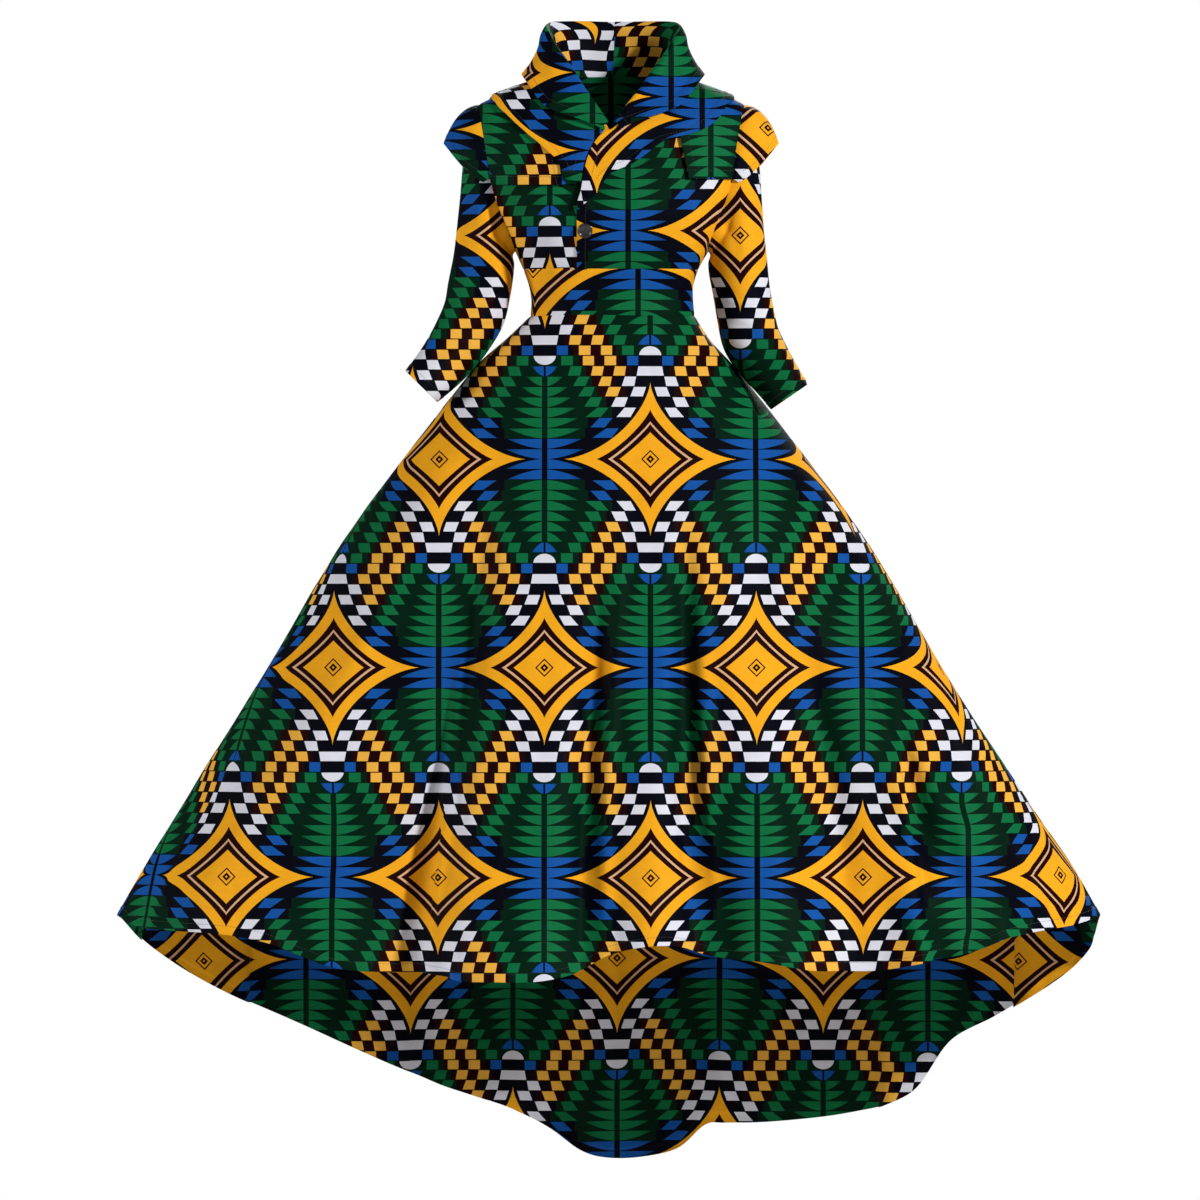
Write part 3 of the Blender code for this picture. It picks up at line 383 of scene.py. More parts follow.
def outer_wall(name):
    """Points of the outer wall of a cloth node, their outward side and neighbours, and its border loops."""
    mesh = bmesh.new()
    mesh.from_mesh(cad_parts[name].data)
    bmesh.ops.remove_doubles(mesh, verts=mesh.verts, dist=MERGE)
    mesh.verts.index_update()
    mesh.faces.index_update()
    mesh.faces.ensure_lookup_table()
    thin = {}
    for face in mesh.faces:
        edge = min(face.edges, key=lambda edge: edge.calc_length())
        if edge.calc_length() < RIM_EDGE:
            thin[face.index] = (edge.verts[0].co - edge.verts[1].co).normalized()
    unread = set(range(len(mesh.faces)))
    islands = []
    for seed in sorted(unread - set(thin), key=lambda index: -mesh.faces[index].calc_area()):
        if seed not in unread:
            continue
        unread.discard(seed)
        island = [seed]
        for index in island:
            for edge in mesh.faces[index].edges:
                for face in edge.link_faces:
                    if face.index in unread and not on_rim(mesh.faces[index], face, thin.get(face.index)):
                        unread.discard(face.index)
                        island.append(face.index)
        islands.append(island)
    wall = max(islands, key=lambda island: sum(mesh.faces[index].calc_area() for index in island))
    inside = set(wall)
    points = {}
    neighbours = {}
    border = {}
    for index in wall:
        for edge in mesh.faces[index].edges:
            first, second = (vertex.index for vertex in edge.verts)
            neighbours.setdefault(first, set()).add(second)
            neighbours.setdefault(second, set()).add(first)
            if sum(face.index in inside for face in edge.link_faces) == 1:
                border.setdefault(first, set()).add(second)
                border.setdefault(second, set()).add(first)
        for vertex in mesh.faces[index].verts:
            points[vertex.index] = np.array(vertex.co)
    outward = {index: np.zeros(3) for index in points}
    for index in wall:
        for vertex in mesh.faces[index].verts:
            outward[vertex.index] += np.array(mesh.faces[index].normal)
    mesh.free()
    return points, outward, neighbours, border_loops(border)


def border_loops(border):
    """Closed loops of points along the border."""
    loops = []
    unread = set(border)
    while unread:
        loop = [min(unread)]
        unread.discard(loop[0])
        while True:
            following = sorted(point for point in border[loop[-1]] if point in unread)
            if not following:
                break
            loop.append(following[0])
            unread.discard(following[0])
        loops.append(loop)
    return loops


def layers(neighbours, first):
    """The points in layers, each next to the one before it."""
    found = [list(first)]
    seen = set(first)
    while True:
        layer = sorted({other for point in found[-1] for other in neighbours[point]} - seen)
        if not layer:
            return found
        seen.update(layer)
        found.append(layer)


def walk(neighbours, layer, start):
    """A layer's points in order from one of them."""
    unread = set(layer)
    unread.discard(start)
    path = [start]
    while unread:
        following = sorted(point for point in neighbours[path[-1]] if point in unread)
        if not following:
            raise RuntimeError("A row of the cloth is broken")
        path.append(following[0])
        unread.discard(following[0])
    return path


def corner_turn(points, loop, corners):
    """How sharply the border turns at four of its points."""
    turn = 0.0
    for corner in corners:
        here = points[loop[corner % len(loop)]]
        before = here - points[loop[(corner - 1) % len(loop)]]
        after = points[loop[(corner + 1) % len(loop)]] - here
        turn -= before @ after / (np.linalg.norm(before) * np.linalg.norm(after))
    return turn


def row_ends(neighbours, layer):
    """The points of a layer that have one neighbour in it."""
    inside = set(layer)
    return sorted(point for point in layer if len(neighbours[point] & inside) == 1)


def sheet_rows(panel, points, neighbours, loop):
    """Rows of an open panel, from either of its two ends."""
    count = len(loop) // 2 + 2 - panel.columns
    fits = []
    for start in range(len(loop)):
        found = layers(neighbours, (loop + loop)[start:start + panel.columns])
        whole = all(len(layer) == panel.columns and len(row_ends(neighbours, layer)) == 2 for layer in found)
        if len(found) == count and whole:
            across, along = panel.columns - 1, count - 1
            corners = [start, start + across, start + across + along, start + 2 * across + along]
            fits.append((corner_turn(points, loop, corners), start, found))
    if not fits:
        raise RuntimeError(f"{panel.name} isn't a grid of {panel.columns} columns")
    rows = []
    for layer in max(fits)[2]:
        ends = row_ends(neighbours, layer)
        if rows and ends[0] not in neighbours[rows[-1][0]]:
            ends.reverse()
        rows.append(walk(neighbours, layer, ends[0]))
    return rows


def tube_rows(points, neighbours, loops):
    """Rows of a tube, each starting at the underarm."""
    first = min(loops, key=lambda loop: sum(points[point][2] for point in loop))
    rows = []
    for layer in layers(neighbours, first):
        ring = walk(neighbours, layer, min(layer, key=lambda point: abs(points[point][0])))
        places = np.array([points[point] for point in ring])
        ahead = np.roll(places, -1, axis=0)
        if (places[:, 0] * ahead[:, 1] - ahead[:, 0] * places[:, 1]).sum() < 0:
            ring = ring[:1] + ring[:0:-1]
            places = np.array([points[point] for point in ring])
        if rows:
            before = np.array([points[point] for point in rows[-1]])
            shift = min(range(len(ring)), key=lambda turn: ((np.roll(places, -turn, axis=0) - before) ** 2).sum())
            ring = ring[shift:] + ring[:shift]
        rows.append(ring)
    return rows


def panel_grid(panel):
    """The outer wall of a panel as an array of points, rows first, its outward side, and whether it is a tube."""
    points, outward, neighbours, loops = outer_wall(panel.name)
    closed = len(loops) == 2
    if closed:
        rows = tube_rows(points, neighbours, loops)
    else:
        rows = sheet_rows(panel, points, neighbours, loops[0])
    grid = np.array([[points[point] for point in row] for row in rows])
    outside = np.array([[outward[point] for point in row] for row in rows])
    if not closed:
        if panel.up is None:
            length = np.linalg.norm(np.diff(grid, axis=1), axis=2).sum(axis=1)
            turn_up = length[0] > length[-1]
        else:
            turn_up = (grid[-1].mean(axis=0) - grid[0].mean(axis=0)) @ np.array(panel.up) < 0
        if turn_up:
            grid, outside = grid[::-1], outside[::-1]
        if (grid[:, -1].mean(axis=0) - grid[:, 0].mean(axis=0)) @ np.array(panel.across) < 0:
            grid, outside = grid[:, ::-1], outside[:, ::-1]
    return grid, outside, closed


def smooth(lines, closed):
    """Smooth curves through rows of points, as fine points and how far along each curve they are."""
    if closed:
        lines = np.concatenate([lines[-1:], lines, lines[:2]])
    steps = np.linalg.norm(np.diff(lines, axis=0), axis=2)[..., None] + TINY
    slopes = np.diff(lines, axis=0) / steps
    inner = (slopes[:-1] * steps[1:] + slopes[1:] * steps[:-1]) / (steps[:-1] + steps[1:])
    if closed:
        lines, steps, slopes = lines[1:-1], steps[1:-1], inner
    else:
        slopes = np.concatenate([1.5 * slopes[:1] - 0.5 * inner[:1], inner, 1.5 * slopes[-1:] - 0.5 * inner[-1:]])
    part = (np.arange(FINE_STEPS) / FINE_STEPS)[None, :, None, None]
    reach = steps[:, None]
    points = (1 + 2 * part) * (1 - part) ** 2 * lines[:-1, None]
    points = points + part * (1 - part) ** 2 * reach * slopes[:-1, None]
    points = points + part ** 2 * (3 - 2 * part) * lines[1:, None]
    points = points + part ** 2 * (part - 1) * reach * slopes[1:, None]
    points = np.concatenate([points.reshape(-1, *lines.shape[1:]), lines[-1:]])
    return points, lengths_along(points, 0)


def lengths_along(points, axis):
    """How far along its line each point of a grid is."""
    steps = np.linalg.norm(np.diff(points, axis=axis), axis=2)
    start = np.zeros_like(np.take(steps, [0], axis=axis))
    return np.concatenate([start, steps.cumsum(axis=axis)], axis=axis)


def resample(lines, spacing, low, high, closed):
    """Finer points along each line, with extra ones at the marks near its two ends."""
    points, along = smooth(lines, closed)
    total = along[-1]
    counts = np.ceil(np.diff(along[::FINE_STEPS], axis=0).max(axis=1) / spacing).astype(int)
    fine = np.concatenate([index + np.arange(count) / count for index, count in enumerate(counts)])
    fine = fine[1:] if low else fine
    index = np.arange(len(points)) / FINE_STEPS
    room = MARK_ROOM * (low[-1] + high[-1]) if low else TINY
    scale = np.minimum(1.0, total * MARK_SHARE / room)
    result = []
    for line in range(points.shape[1]):
        ends = [np.array(marks) * scale[line] for marks in (low, high)]
        inner = np.interp(fine, index, along[:, line])
        if low:
            inner = ends[0][-1] + inner * (1 - (ends[0][-1] + ends[1][-1]) / total[line])
            places = np.concatenate([ends[0], inner, total[line] - ends[1][::-1]])
        else:
            places = np.append(inner, total[line])
        result.append([np.interp(places, along[:, line], points[:, line, axis]) for axis in range(3)])
    return np.array(result).transpose(2, 0, 1)


def step(value, start, end):
    """Rises smoothly from 0 at start to 1 at end."""
    part = np.clip((value - start) / (end - start), 0.0, 1.0)
    return part * part * (3 - 2 * part)


def grid_normals(grid, closed):
    """Unit normals of a grid, by its rows and columns."""
    across = np.gradient(grid, axis=1)
    if closed:
        across[:, [0, -1]] = ((grid[:, 1] - grid[:, -2]) / 2)[:, None]
    normals = np.cross(across, np.gradient(grid, axis=0))
    return normals / (np.linalg.norm(normals, axis=2)[..., None] + TINY)


def border_shift(grid, panel, closed, sizes):
    """How far seams sink and turned hems stand out, at each point."""
    shift = np.zeros(grid.shape[:2])
    down = lengths_along(grid, 0)
    right = lengths_along(grid, 1)
    borders = [(panel.low, down), (panel.high, down[-1] - down)]
    if not closed:
        borders += [(panel.first, right), (panel.last, right[:, -1:] - right)]
    for kind, distance in borders:
        if kind == SEAM:
            shift -= sizes.seam_depth * (1 - step(distance, 0.0, SEAM_HALF))
        else:
            shift += sizes.hem_rise * (1 - step(distance, sizes.hem_width, sizes.hem_width + HEM_STEP))
            shift -= sizes.hem_rise * (1 - step(distance, 0.0, HEM_STEP))
    return shift


def lapped(grid, panel, closed, lap):
    """The grid with its sewn edges carried a little past their neighbours', so that no light shows between them."""
    moved = grid.copy()
    turned = moved.transpose(1, 0, 2)
    sides = [(panel.low, moved), (panel.high, moved[::-1])]
    if not closed:
        sides += [(panel.first, turned), (panel.last, turned[::-1])]
    for kind, rows in sides:
        if kind == SEAM:
            near = rows[:len(SEAM_MARKS)]
            out = rows[0] - rows[len(SEAM_MARKS)]
            out /= np.linalg.norm(out, axis=1)[:, None] + TINY
            share = 1 - step(np.linalg.norm(near - rows[0], axis=2), 0.0, SEAM_HALF)
            near += out * (lap * share)[..., None]
    return moved


def wider_front(grid, reach):
    """A flap's grid with its inner edge carried further in at the front."""
    moved = grid.copy()
    inward = grid[:, 0] - grid[:, -1]
    inward /= np.linalg.norm(inward, axis=1)[:, None]
    front = 1 - step(np.linspace(0.0, 1.0, len(grid)), *FLAP_FRONT)
    across = lengths_along(grid, 1)
    share = 1 - across / across[:, -1:]
    moved += inward[:, None] * (reach * front[:, None] * share)[..., None]
    return moved


def crease_shift(panel, grid, normals, sizes):
    """How far the creases of a panel move its points outwards."""
    shift = np.zeros(grid.shape[:2])
    across, up = grid[..., 0] * MM, grid[..., 2] * MM
    for side, facing in (("front", -normals[..., 1]), ("back", normals[..., 1])):
        seen = step(facing, 0.0, CREASE_FACING)
        for crease in map(CreaseRow._make, CREASES.get((panel.name, side), [])):
            run = np.array([crease.x1 - crease.x0, crease.z1 - crease.z0], float)
            reach = np.linalg.norm(run)
            run /= reach
            ahead = ((across - crease.x0) * run[0] + (up - crease.z0) * run[1]) / reach
            aside = (up - crease.z0) * run[0] - (across - crease.x0) * run[1]
            hump = np.clip(4 * ahead * (1 - ahead), 0.0, 1.0)
            aside = aside - crease.bow * hump
            shift += crease.depth / MM * hump ** CREASE_TAPER * np.exp(-(aside / crease.width) ** 2) * seen
    return shift * sizes.crease_depth


def evened(values, axis):
    """Values evened out along their lines, so that single folds don't count."""
    half = values.shape[axis] // EVEN_SHARE
    around = [(half, half) if axis == index else (0, 0) for index in range(2)]
    window = np.ones(2 * half + 1) / (2 * half + 1)
    return np.apply_along_axis(np.convolve, axis, np.pad(values, around, mode="edge"), window, "valid")


def print_run(grid, axis, part):
    """How far the print runs from each point to the next, across (part 0) or up (part 2)."""
    steps = np.diff(grid, axis=axis)
    length = np.hypot(steps[..., part], steps[..., 1]) + TINY
    seen = np.abs(steps[..., part]) / length
    return length * np.maximum(seen, np.minimum(1.0, TURN_START - TURN_SLOPE * evened(seen, axis)))


def print_chart(panel, grid, anchor):
    """Where each point lies on the flat print: across and up from one of its stars."""
    way = -1.0 if panel.up is None or panel.across[0] < 0 else 1.0
    run = way * print_run(grid, 1, 0).cumsum(axis=1)
    run = np.concatenate([np.zeros((len(grid), 1)), run], axis=1)
    across = grid[:, [anchor], 0] + run - run[:, [anchor]]
    rise = print_run(grid, 0, 2).cumsum(axis=0)
    rise = np.concatenate([np.zeros((1, grid.shape[1])), rise])
    if panel.up is None:
        up = grid[-1:, :, 2] + rise[-1:] - rise
    else:
        up = grid[:1, :, 2] + rise
    return np.stack([across - panel.u, up - panel.v], axis=-1)


def shell_mesh(name, grid, charts, split, closed, turned):
    """A mesh of one layer of cloth, with its print's UV map. Columns from the split on take the second chart."""
    rows, columns = grid.shape[:2]
    count = columns - 1 if closed else columns
    index = np.arange(rows)[:, None] * count + np.arange(columns) % count
    corners = [(0, 0), (0, 1), (1, 1), (1, 0)]
    if turned:
        corners.reverse()
    parts = [(slice(row, rows - 1 + row), slice(column, columns - 1 + column)) for row, column in corners]
    quads = np.stack([index[part] for part in parts], axis=-1).reshape(-1, 4)
    places = [np.stack([chart[part] for part in parts], axis=2) for chart in charts]
    places[0][:, split:] = places[-1][:, split:]
    mesh = bpy.data.meshes.new(name)
    mesh.from_pydata(grid[:, :count].reshape(-1, 3).tolist(), [], quads.tolist())
    mesh.uv_layers.new(name=PRINT_MAP).data.foreach_set("uv", places[0].reshape(-1))
    mesh.shade_smooth()
    return mesh


def plain_mesh(piece):
    """Replace a piece's mesh by what its modifiers make of it."""
    evaluated = piece.evaluated_get(bpy.context.evaluated_depsgraph_get())
    mesh = bpy.data.meshes.new_from_object(evaluated)
    piece.modifiers.clear()
    piece.data = mesh
    mesh.name = piece.name
    return mesh


def add_piece(name, mesh, material):
    """Put a mesh in the scene with its material."""
    piece = bpy.data.objects.new(name, mesh)
    bpy.context.scene.collection.objects.link(piece)
    mesh.materials.clear()
    mesh.materials.append(material)
    return piece


def cloth_piece(name):
    """Build one panel of printed cloth in place of its plain solid.

    Gives the piece, its outer face as a grid with normals, and the flat size and area of its uncreased form.
    """
    sizes = bpy.context.scene.dress_sizes
    panel = PANELS[name]
    coarse, outside, closed = panel_grid(panel)
    turned = (grid_normals(coarse, closed) * outside).sum() < 0
    marks = {SEAM: SEAM_MARKS, HEM: HEM_MARKS}
    grid = resample(coarse, panel.spacing, marks[panel.low], marks[panel.high], False)
    sides = ((), ()) if closed else (marks[panel.first], marks[panel.last])
    grid = resample(grid.transpose(1, 0, 2), panel.spacing, *sides, closed).transpose(1, 0, 2)
    normals = grid_normals(grid, closed) * (-1 if turned else 1)
    if name == "shoulder_flap_left":
        grid = wider_front(grid, sizes.flap_reach)
    shift = border_shift(grid, panel, closed, sizes) + crease_shift(panel, grid, normals, sizes)
    shift += ripple(grid, sizes.ripple)
    moved = lapped(grid, panel, closed, sizes.seam_lap) + normals * shift[..., None]
    if closed:
        moved[:, -1] = moved[:, 0]
    columns = grid.shape[1]
    if name == "collar":
        split = columns // 2
        end = columns // COLLAR_END
        right = panel._replace(u=COLLAR_RIGHT_STAR[0], v=COLLAR_RIGHT_STAR[1])
        charts = [print_chart(right, moved, end), print_chart(panel, moved, columns - end)]
    else:
        split = 0
        charts = [print_chart(panel, moved, int(np.abs(normals[..., 1]).mean(axis=0).argmax()))]
    mesh = shell_mesh(name, moved, charts, split, closed, turned)
    piece = add_piece(name + "_cloth", mesh, print_cloth())
    wall = piece.modifiers.new("cloth", "SOLIDIFY")
    wall.thickness = sizes.cloth_thickness
    wall.offset = -1.0
    plain_mesh(piece).set_sharp_from_angle(angle=math.radians(SHARP_ANGLE))
    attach(piece, ROOT)
    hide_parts(name)
    width = lengths_along(grid, 1)[:, -1].max()
    length = lengths_along(grid, 0)[-1].max()
    return piece, moved, normals, (width, length), sheet_area(grid)


def sheet_area(grid):
    """The area of a grid's surface."""
    down = grid[1:, :-1] - grid[:-1, :-1]
    right = grid[:-1, 1:] - grid[:-1, :-1]
    return np.linalg.norm(np.cross(down, right), axis=2).sum()


def ripple(grid, height):
    """Small unevenness of hand-worn cloth."""
    places = grid * RIPPLE_SCALE
    waves = [noise.noise(Vector(place)) for place in places.reshape(-1, 3)]
    return height * np.array(waves).reshape(grid.shape[:2])


class Tree:
    """Places and links the nodes of one shader or geometry tree."""

    def __init__(self, tree):
        self.tree = tree

    def feed(self, socket, value):
        """Link an input to another node's output, or give it a value."""
        if isinstance(value, bpy.types.NodeSocket):
            self.tree.links.new(value, socket)
        elif value is not None:
            socket.default_value = value

    def add(self, kind, *values, **settings):
        """A new node with its settings and the values or links of its first inputs."""
        node = self.tree.nodes.new(kind)
        for key, value in settings.items():
            setattr(node, key, value)
        for socket, value in zip(node.inputs, values):
            self.feed(socket, value)
        return node

    def math(self, operation, *values):
        """The result of one sum."""
        return self.add("ShaderNodeMath", *values, operation=operation).outputs[0]

    def mix(self, factor, first, second):
        """The first colour where the factor is 0, the second where it is 1."""
        node = self.add("ShaderNodeMix", factor, data_type="RGBA")
        self.feed(node.inputs[MIX_FIRST], first)
        self.feed(node.inputs[MIX_SECOND], second)
        return node.outputs[MIX_RESULT]

    def every(self, *masks):
        """The share that all masks have in common."""
        result = masks[0]
        for mask in masks[1:]:
            result = self.math("MULTIPLY", result, mask)
        return result

    def between(self, value, low, high):
        """A mask that is 1 where a value lies between two others."""
        return self.every(self.math("GREATER_THAN", value, low), self.math("LESS_THAN", value, high))

    def star(self, across, up, wide, tall, power):
        """A mask that is 1 inside a four-pointed star or diamond."""
        first = self.math("POWER", self.math("DIVIDE", across, wide), power)
        second = self.math("POWER", self.math("DIVIDE", up, tall), power)
        return self.math("LESS_THAN", self.math("ADD", first, second), 1.0)

    def blend(self, first, second, factor):
        """A value part way from the first to the second."""
        return self.math("MULTIPLY_ADD", self.math("SUBTRACT", second, first), factor, first)

    def clouds(self, place, scale, detail=2.0):
        """Soft noise around a place."""
        node = self.add("ShaderNodeTexNoise")
        self.feed(node.inputs["Vector"], place)
        node.inputs["Scale"].default_value = scale
        node.inputs["Detail"].default_value = detail
        return node.outputs["Fac"]

    def spread(self, value, least_and_spread):
        """A value from 0 to 1 brought to a least value and a spread above it."""
        least, spread = least_and_spread
        return self.math("MULTIPLY_ADD", value, spread, least)

    def steps(self, value, stops):
        """One colour for each of the value's equal steps."""
        node = self.add("ShaderNodeValToRGB", value)
        ramp = node.color_ramp
        ramp.interpolation = "CONSTANT"
        while len(ramp.elements) < len(stops):
            ramp.elements.new(1.0)
        for index, stop in enumerate(stops):
            ramp.elements[index].position = index / len(stops)
        for index, stop in enumerate(stops):
            ramp.elements[index].color = stop
        return node


def group(name, inputs, outputs):
    """A new shader node group with named sockets: its tree, its input sockets and its output node."""
    tree = bpy.data.node_groups.new(name, "ShaderNodeTree")
    for label, kind, value in inputs:
        socket = tree.interface.new_socket(label, in_out="INPUT", socket_type=kind)
        if value is not None:
            socket.default_value = value
    for label, kind in outputs:
        tree.interface.new_socket(label, in_out="OUTPUT", socket_type=kind)
    build = Tree(tree)
    return build, build.add("NodeGroupInput").outputs, build.add("NodeGroupOutput")


def limits(slot):
    """The inner and outer ends of one slot's cells, at the near and far side of each row, as colours."""
    stops = [(0.0, 0.0, 0.0, 0.0)] * CHART_ROWS
    for cell in CELLS:
        if cell.slot == slot:
            ends = (cell.near_in, cell.near_out, cell.far_in, cell.far_out)
            stops[cell.row] = tuple(end / HALF_WIDTH for end in ends)
    return stops


def cell_mask(build, slot, place, across, depth, inside):
    """A mask of the cells of one slot."""
    node = build.steps(place, limits(slot))
    ends = build.add("ShaderNodeSeparateColor", node.outputs[0])
    low = build.blend(ends.outputs[0], ends.outputs[2], depth)
    high = build.blend(ends.outputs[1], node.outputs[1], depth)
    return build.every(build.between(across, low, high), inside)


def chart_group():
    """The printed chart: stars on a field of leaves and slanted checks."""
    if "dress_chart" in bpy.data.node_groups:
        return bpy.data.node_groups["dress_chart"]
    colours = bpy.context.scene.dress_colours
    names = ["star", "check", "leaf", "blue", "white", "line", "brown", "dark", "shade"]
    inputs = [(label, "NodeSocketColor", (*getattr(colours, label), 1.0)) for label in names]
    build, given, output = group("dress_chart", [("place", "NodeSocketVector", None)] + inputs,
                                 [("Color", "NodeSocketColor")])
    split = build.add("ShaderNodeSeparateXYZ", given["place"])
    across = build.math("PINGPONG", build.math("DIVIDE", split.outputs[0], CHART_UNIT), HALF_WIDTH)
    up = build.math("PINGPONG", build.math("DIVIDE", split.outputs[1], CHART_UNIT), 2 * CHART_HEIGHT)
    swapped = build.math("GREATER_THAN", up, CHART_HEIGHT)
    across = build.blend(across, build.math("SUBTRACT", HALF_WIDTH, across), swapped)
    up = build.blend(up, build.math("SUBTRACT", 2 * CHART_HEIGHT, up), swapped)
    share = build.math("DIVIDE", across, HALF_WIDTH)
    level = build.math("DIVIDE", up, CHART_HEIGHT / CHART_ROWS)
    depth = build.math("FRACT", level)
    place = build.math("DIVIDE", build.math("ADD", build.math("FLOOR", level), 0.5), float(CHART_ROWS))
    inside = build.between(depth, CELL_GAP, 1 - CELL_GAP)

    # the ground: dark by the star, brown between the yellow checks, deep green by the leaves
    bounds = build.add("ShaderNodeSeparateColor", build.steps(place, GROUNDS).outputs[0])
    brown = build.between(share, bounds.outputs[0], bounds.outputs[1])
    colour = build.mix(brown, given["dark"], given["brown"])
    colour = build.mix(build.math("GREATER_THAN", share, bounds.outputs[1]), colour, given["shade"])

    # the leaves on either side of the spine
    tip = build.add("ShaderNodeSeparateColor", build.steps(place, LEAVES).outputs[0])
    reach = build.math("DIVIDE", build.math("SUBTRACT", share, tip.outputs[0]),
                       build.math("SUBTRACT", 1.0, tip.outputs[0]))
    edge = build.math("POWER", build.math("MAXIMUM", build.math("SUBTRACT", 1.0, reach), 0.0), LEAF_CURVE)
    leaf = build.every(build.math("GREATER_THAN", depth, edge), build.math("GREATER_THAN", reach, 0.0),
                       build.math("LESS_THAN", depth, 1 - LEAF_GAP))
    dye = build.mix(tip.outputs[1], given["leaf"], given["blue"])
    pale = build.math("MINIMUM", build.math("MULTIPLY_ADD", reach, 1.0 / LEAF_FADE, LEAF_DARK), 1.0)
    dye = build.mix(pale, given["shade"], dye)
    colour = build.mix(leaf, colour, dye)
    spine = build.math("SUBTRACT", HALF_WIDTH, build.math("MULTIPLY", tip.outputs[2], SPINE))
    spine = build.math("GREATER_THAN", across, spine)
    colour = build.mix(spine, colour, build.mix(tip.outputs[1], given["shade"], given["dark"]))

    # the checks
    cool = build.steps(place, COOL_CELLS).outputs[0]
    first = build.mix(cool, given["white"], given["blue"])
    for slot, dye in enumerate((first, given["check"], given["check"], given["leaf"])):
        colour = build.mix(cell_mask(build, slot, place, share, depth, inside), colour, dye)

    # the half disc that closes each spine
    side = build.math("DIVIDE", build.math("SUBTRACT", HALF_WIDTH, across), DISC_WIDTH)
    rise = build.math("DIVIDE", build.math("SUBTRACT", CHART_HEIGHT, up), DISC_HEIGHT)
    disc = build.math("ADD", build.math("MULTIPLY", side, side), build.math("MULTIPLY", rise, rise))
    disc = build.every(build.math("LESS_THAN", disc, 1.0), build.math("GREATER_THAN", rise, CELL_GAP))
    colour = build.mix(disc, colour, given["white"])

    # the star, from its outline inwards
    for wide, tall, power, label in STAR_RINGS:
        colour = build.mix(build.star(across, up, wide, tall, power), colour, given[label])
    build.feed(output.inputs["Color"], colour)
    return build.tree


def weave_group():
    """Fine plain weave and a slight unevenness of the dye."""
    if "dress_weave" in bpy.data.node_groups:
        return bpy.data.node_groups["dress_weave"]
    build, given, output = group(
        "dress_weave",
        [("place", "NodeSocketVector", None), ("thread", "NodeSocketFloat", YARN)],
        [("height", "NodeSocketFloat"), ("tone", "NodeSocketFloat"), ("rub", "NodeSocketFloat")],
    )
    split = build.add("ShaderNodeSeparateXYZ", given["place"])
    turn = build.math("DIVIDE", math.pi, given["thread"])
    warp = build.math("SINE", build.math("MULTIPLY", split.outputs[0], turn))
    weft = build.math("SINE", build.math("MULTIPLY", split.outputs[1], turn))
    build.feed(output.inputs["height"], build.math("MULTIPLY_ADD", build.math("MULTIPLY", warp, weft), 0.5, 0.5))
    build.feed(output.inputs["tone"], build.clouds(given["place"], CLOUD_SCALE, CLOUD_DETAIL))
    along = build.add("ShaderNodeVectorMath", given["place"], SLUB_SCALE, operation="MULTIPLY").outputs[0]
    build.feed(output.inputs["rub"], build.clouds(along, 1.0))
    return build.tree


def new_material(name, **settings):
    """A material with its tree and the sockets of its Principled shader."""
    material = bpy.data.materials.new(name)
    material.use_nodes = True
    material.node_tree.nodes.clear()
    build = Tree(material.node_tree)
    shader = build.add("ShaderNodeBsdfPrincipled")
    for label, value in settings.items():
        shader.inputs[label.replace("_", " ")].default_value = value
    build.feed(build.add("ShaderNodeOutputMaterial").inputs["Surface"], shader.outputs[0])
    return material, build, shader.inputs


def use_group(build, tree, place):
    """A copy of a node group in a material, fed with a place."""
    node = build.add("ShaderNodeGroup")
    node.node_tree = tree
    build.feed(node.inputs["place"], place)
    return node


def print_cloth():
    """Printed cotton with a slight polish."""
    if "waxed_print" in bpy.data.materials:
        return bpy.data.materials["waxed_print"]
    material, build, inputs = new_material("waxed_print", Specular_IOR_Level=COTTON_SPECULAR)
    place = build.add("ShaderNodeUVMap", uv_map=PRINT_MAP).outputs[0]
    chart = use_group(build, chart_group(), place)
    weave = use_group(build, weave_group(), place)
    tone = build.spread(weave.outputs["tone"], DYE_TONE)
    slub = build.spread(weave.outputs["rub"], SLUB_TONE)
    colour = build.add("ShaderNodeVectorMath", chart.outputs["Color"], operation="SCALE")
    build.feed(colour.inputs["Scale"], build.math("MULTIPLY", tone, slub))
    build.feed(inputs["Base Color"], colour.outputs[0])
    build.feed(inputs["Roughness"], build.spread(weave.outputs["tone"], COTTON_ROUGHNESS))
    bump = build.add("ShaderNodeBump")
    bump.inputs["Strength"].default_value, bump.inputs["Distance"].default_value = WEAVE_BUMP
    build.feed(bump.inputs["Height"], build.math("ADD", weave.outputs["height"], weave.outputs["rub"]))
    build.feed(inputs["Normal"], bump.outputs[0])
    return material


def thread_material():
    """Dark twisted sewing thread."""
    if "sewing_thread" in bpy.data.materials:
        return bpy.data.materials["sewing_thread"]
    material, build, inputs = new_material("sewing_thread", Roughness=0.55, Sheen_Weight=0.2)
    weave = use_group(build, weave_group(), build.add("ShaderNodeTexCoord").outputs["Object"])
    low = (*bpy.context.scene.dress_colours.thread, 1.0)
    worn = tuple(min(1.0, THREAD_WORN * part) for part in low)
    build.feed(inputs["Base Color"], build.mix(weave.outputs["tone"], low, worn))
    return material


def button_material():
    """Dark resin, a little paler where it is rubbed."""
    if "dark_resin" in bpy.data.materials:
        return bpy.data.materials["dark_resin"]
    material, build, inputs = new_material("dark_resin", Coat_Weight=0.4, Coat_Roughness=0.12)
    cloud = build.clouds(build.add("ShaderNodeTexCoord").outputs["Object"], RESIN_SCALE, RESIN_DETAIL)
    low = (*bpy.context.scene.dress_colours.button, 1.0)
    build.feed(inputs["Base Color"], build.mix(cloud, low, tuple(RESIN_RUBBED * part for part in low)))
    build.feed(inputs["Roughness"], build.spread(cloud, RESIN_ROUGHNESS))
    return material


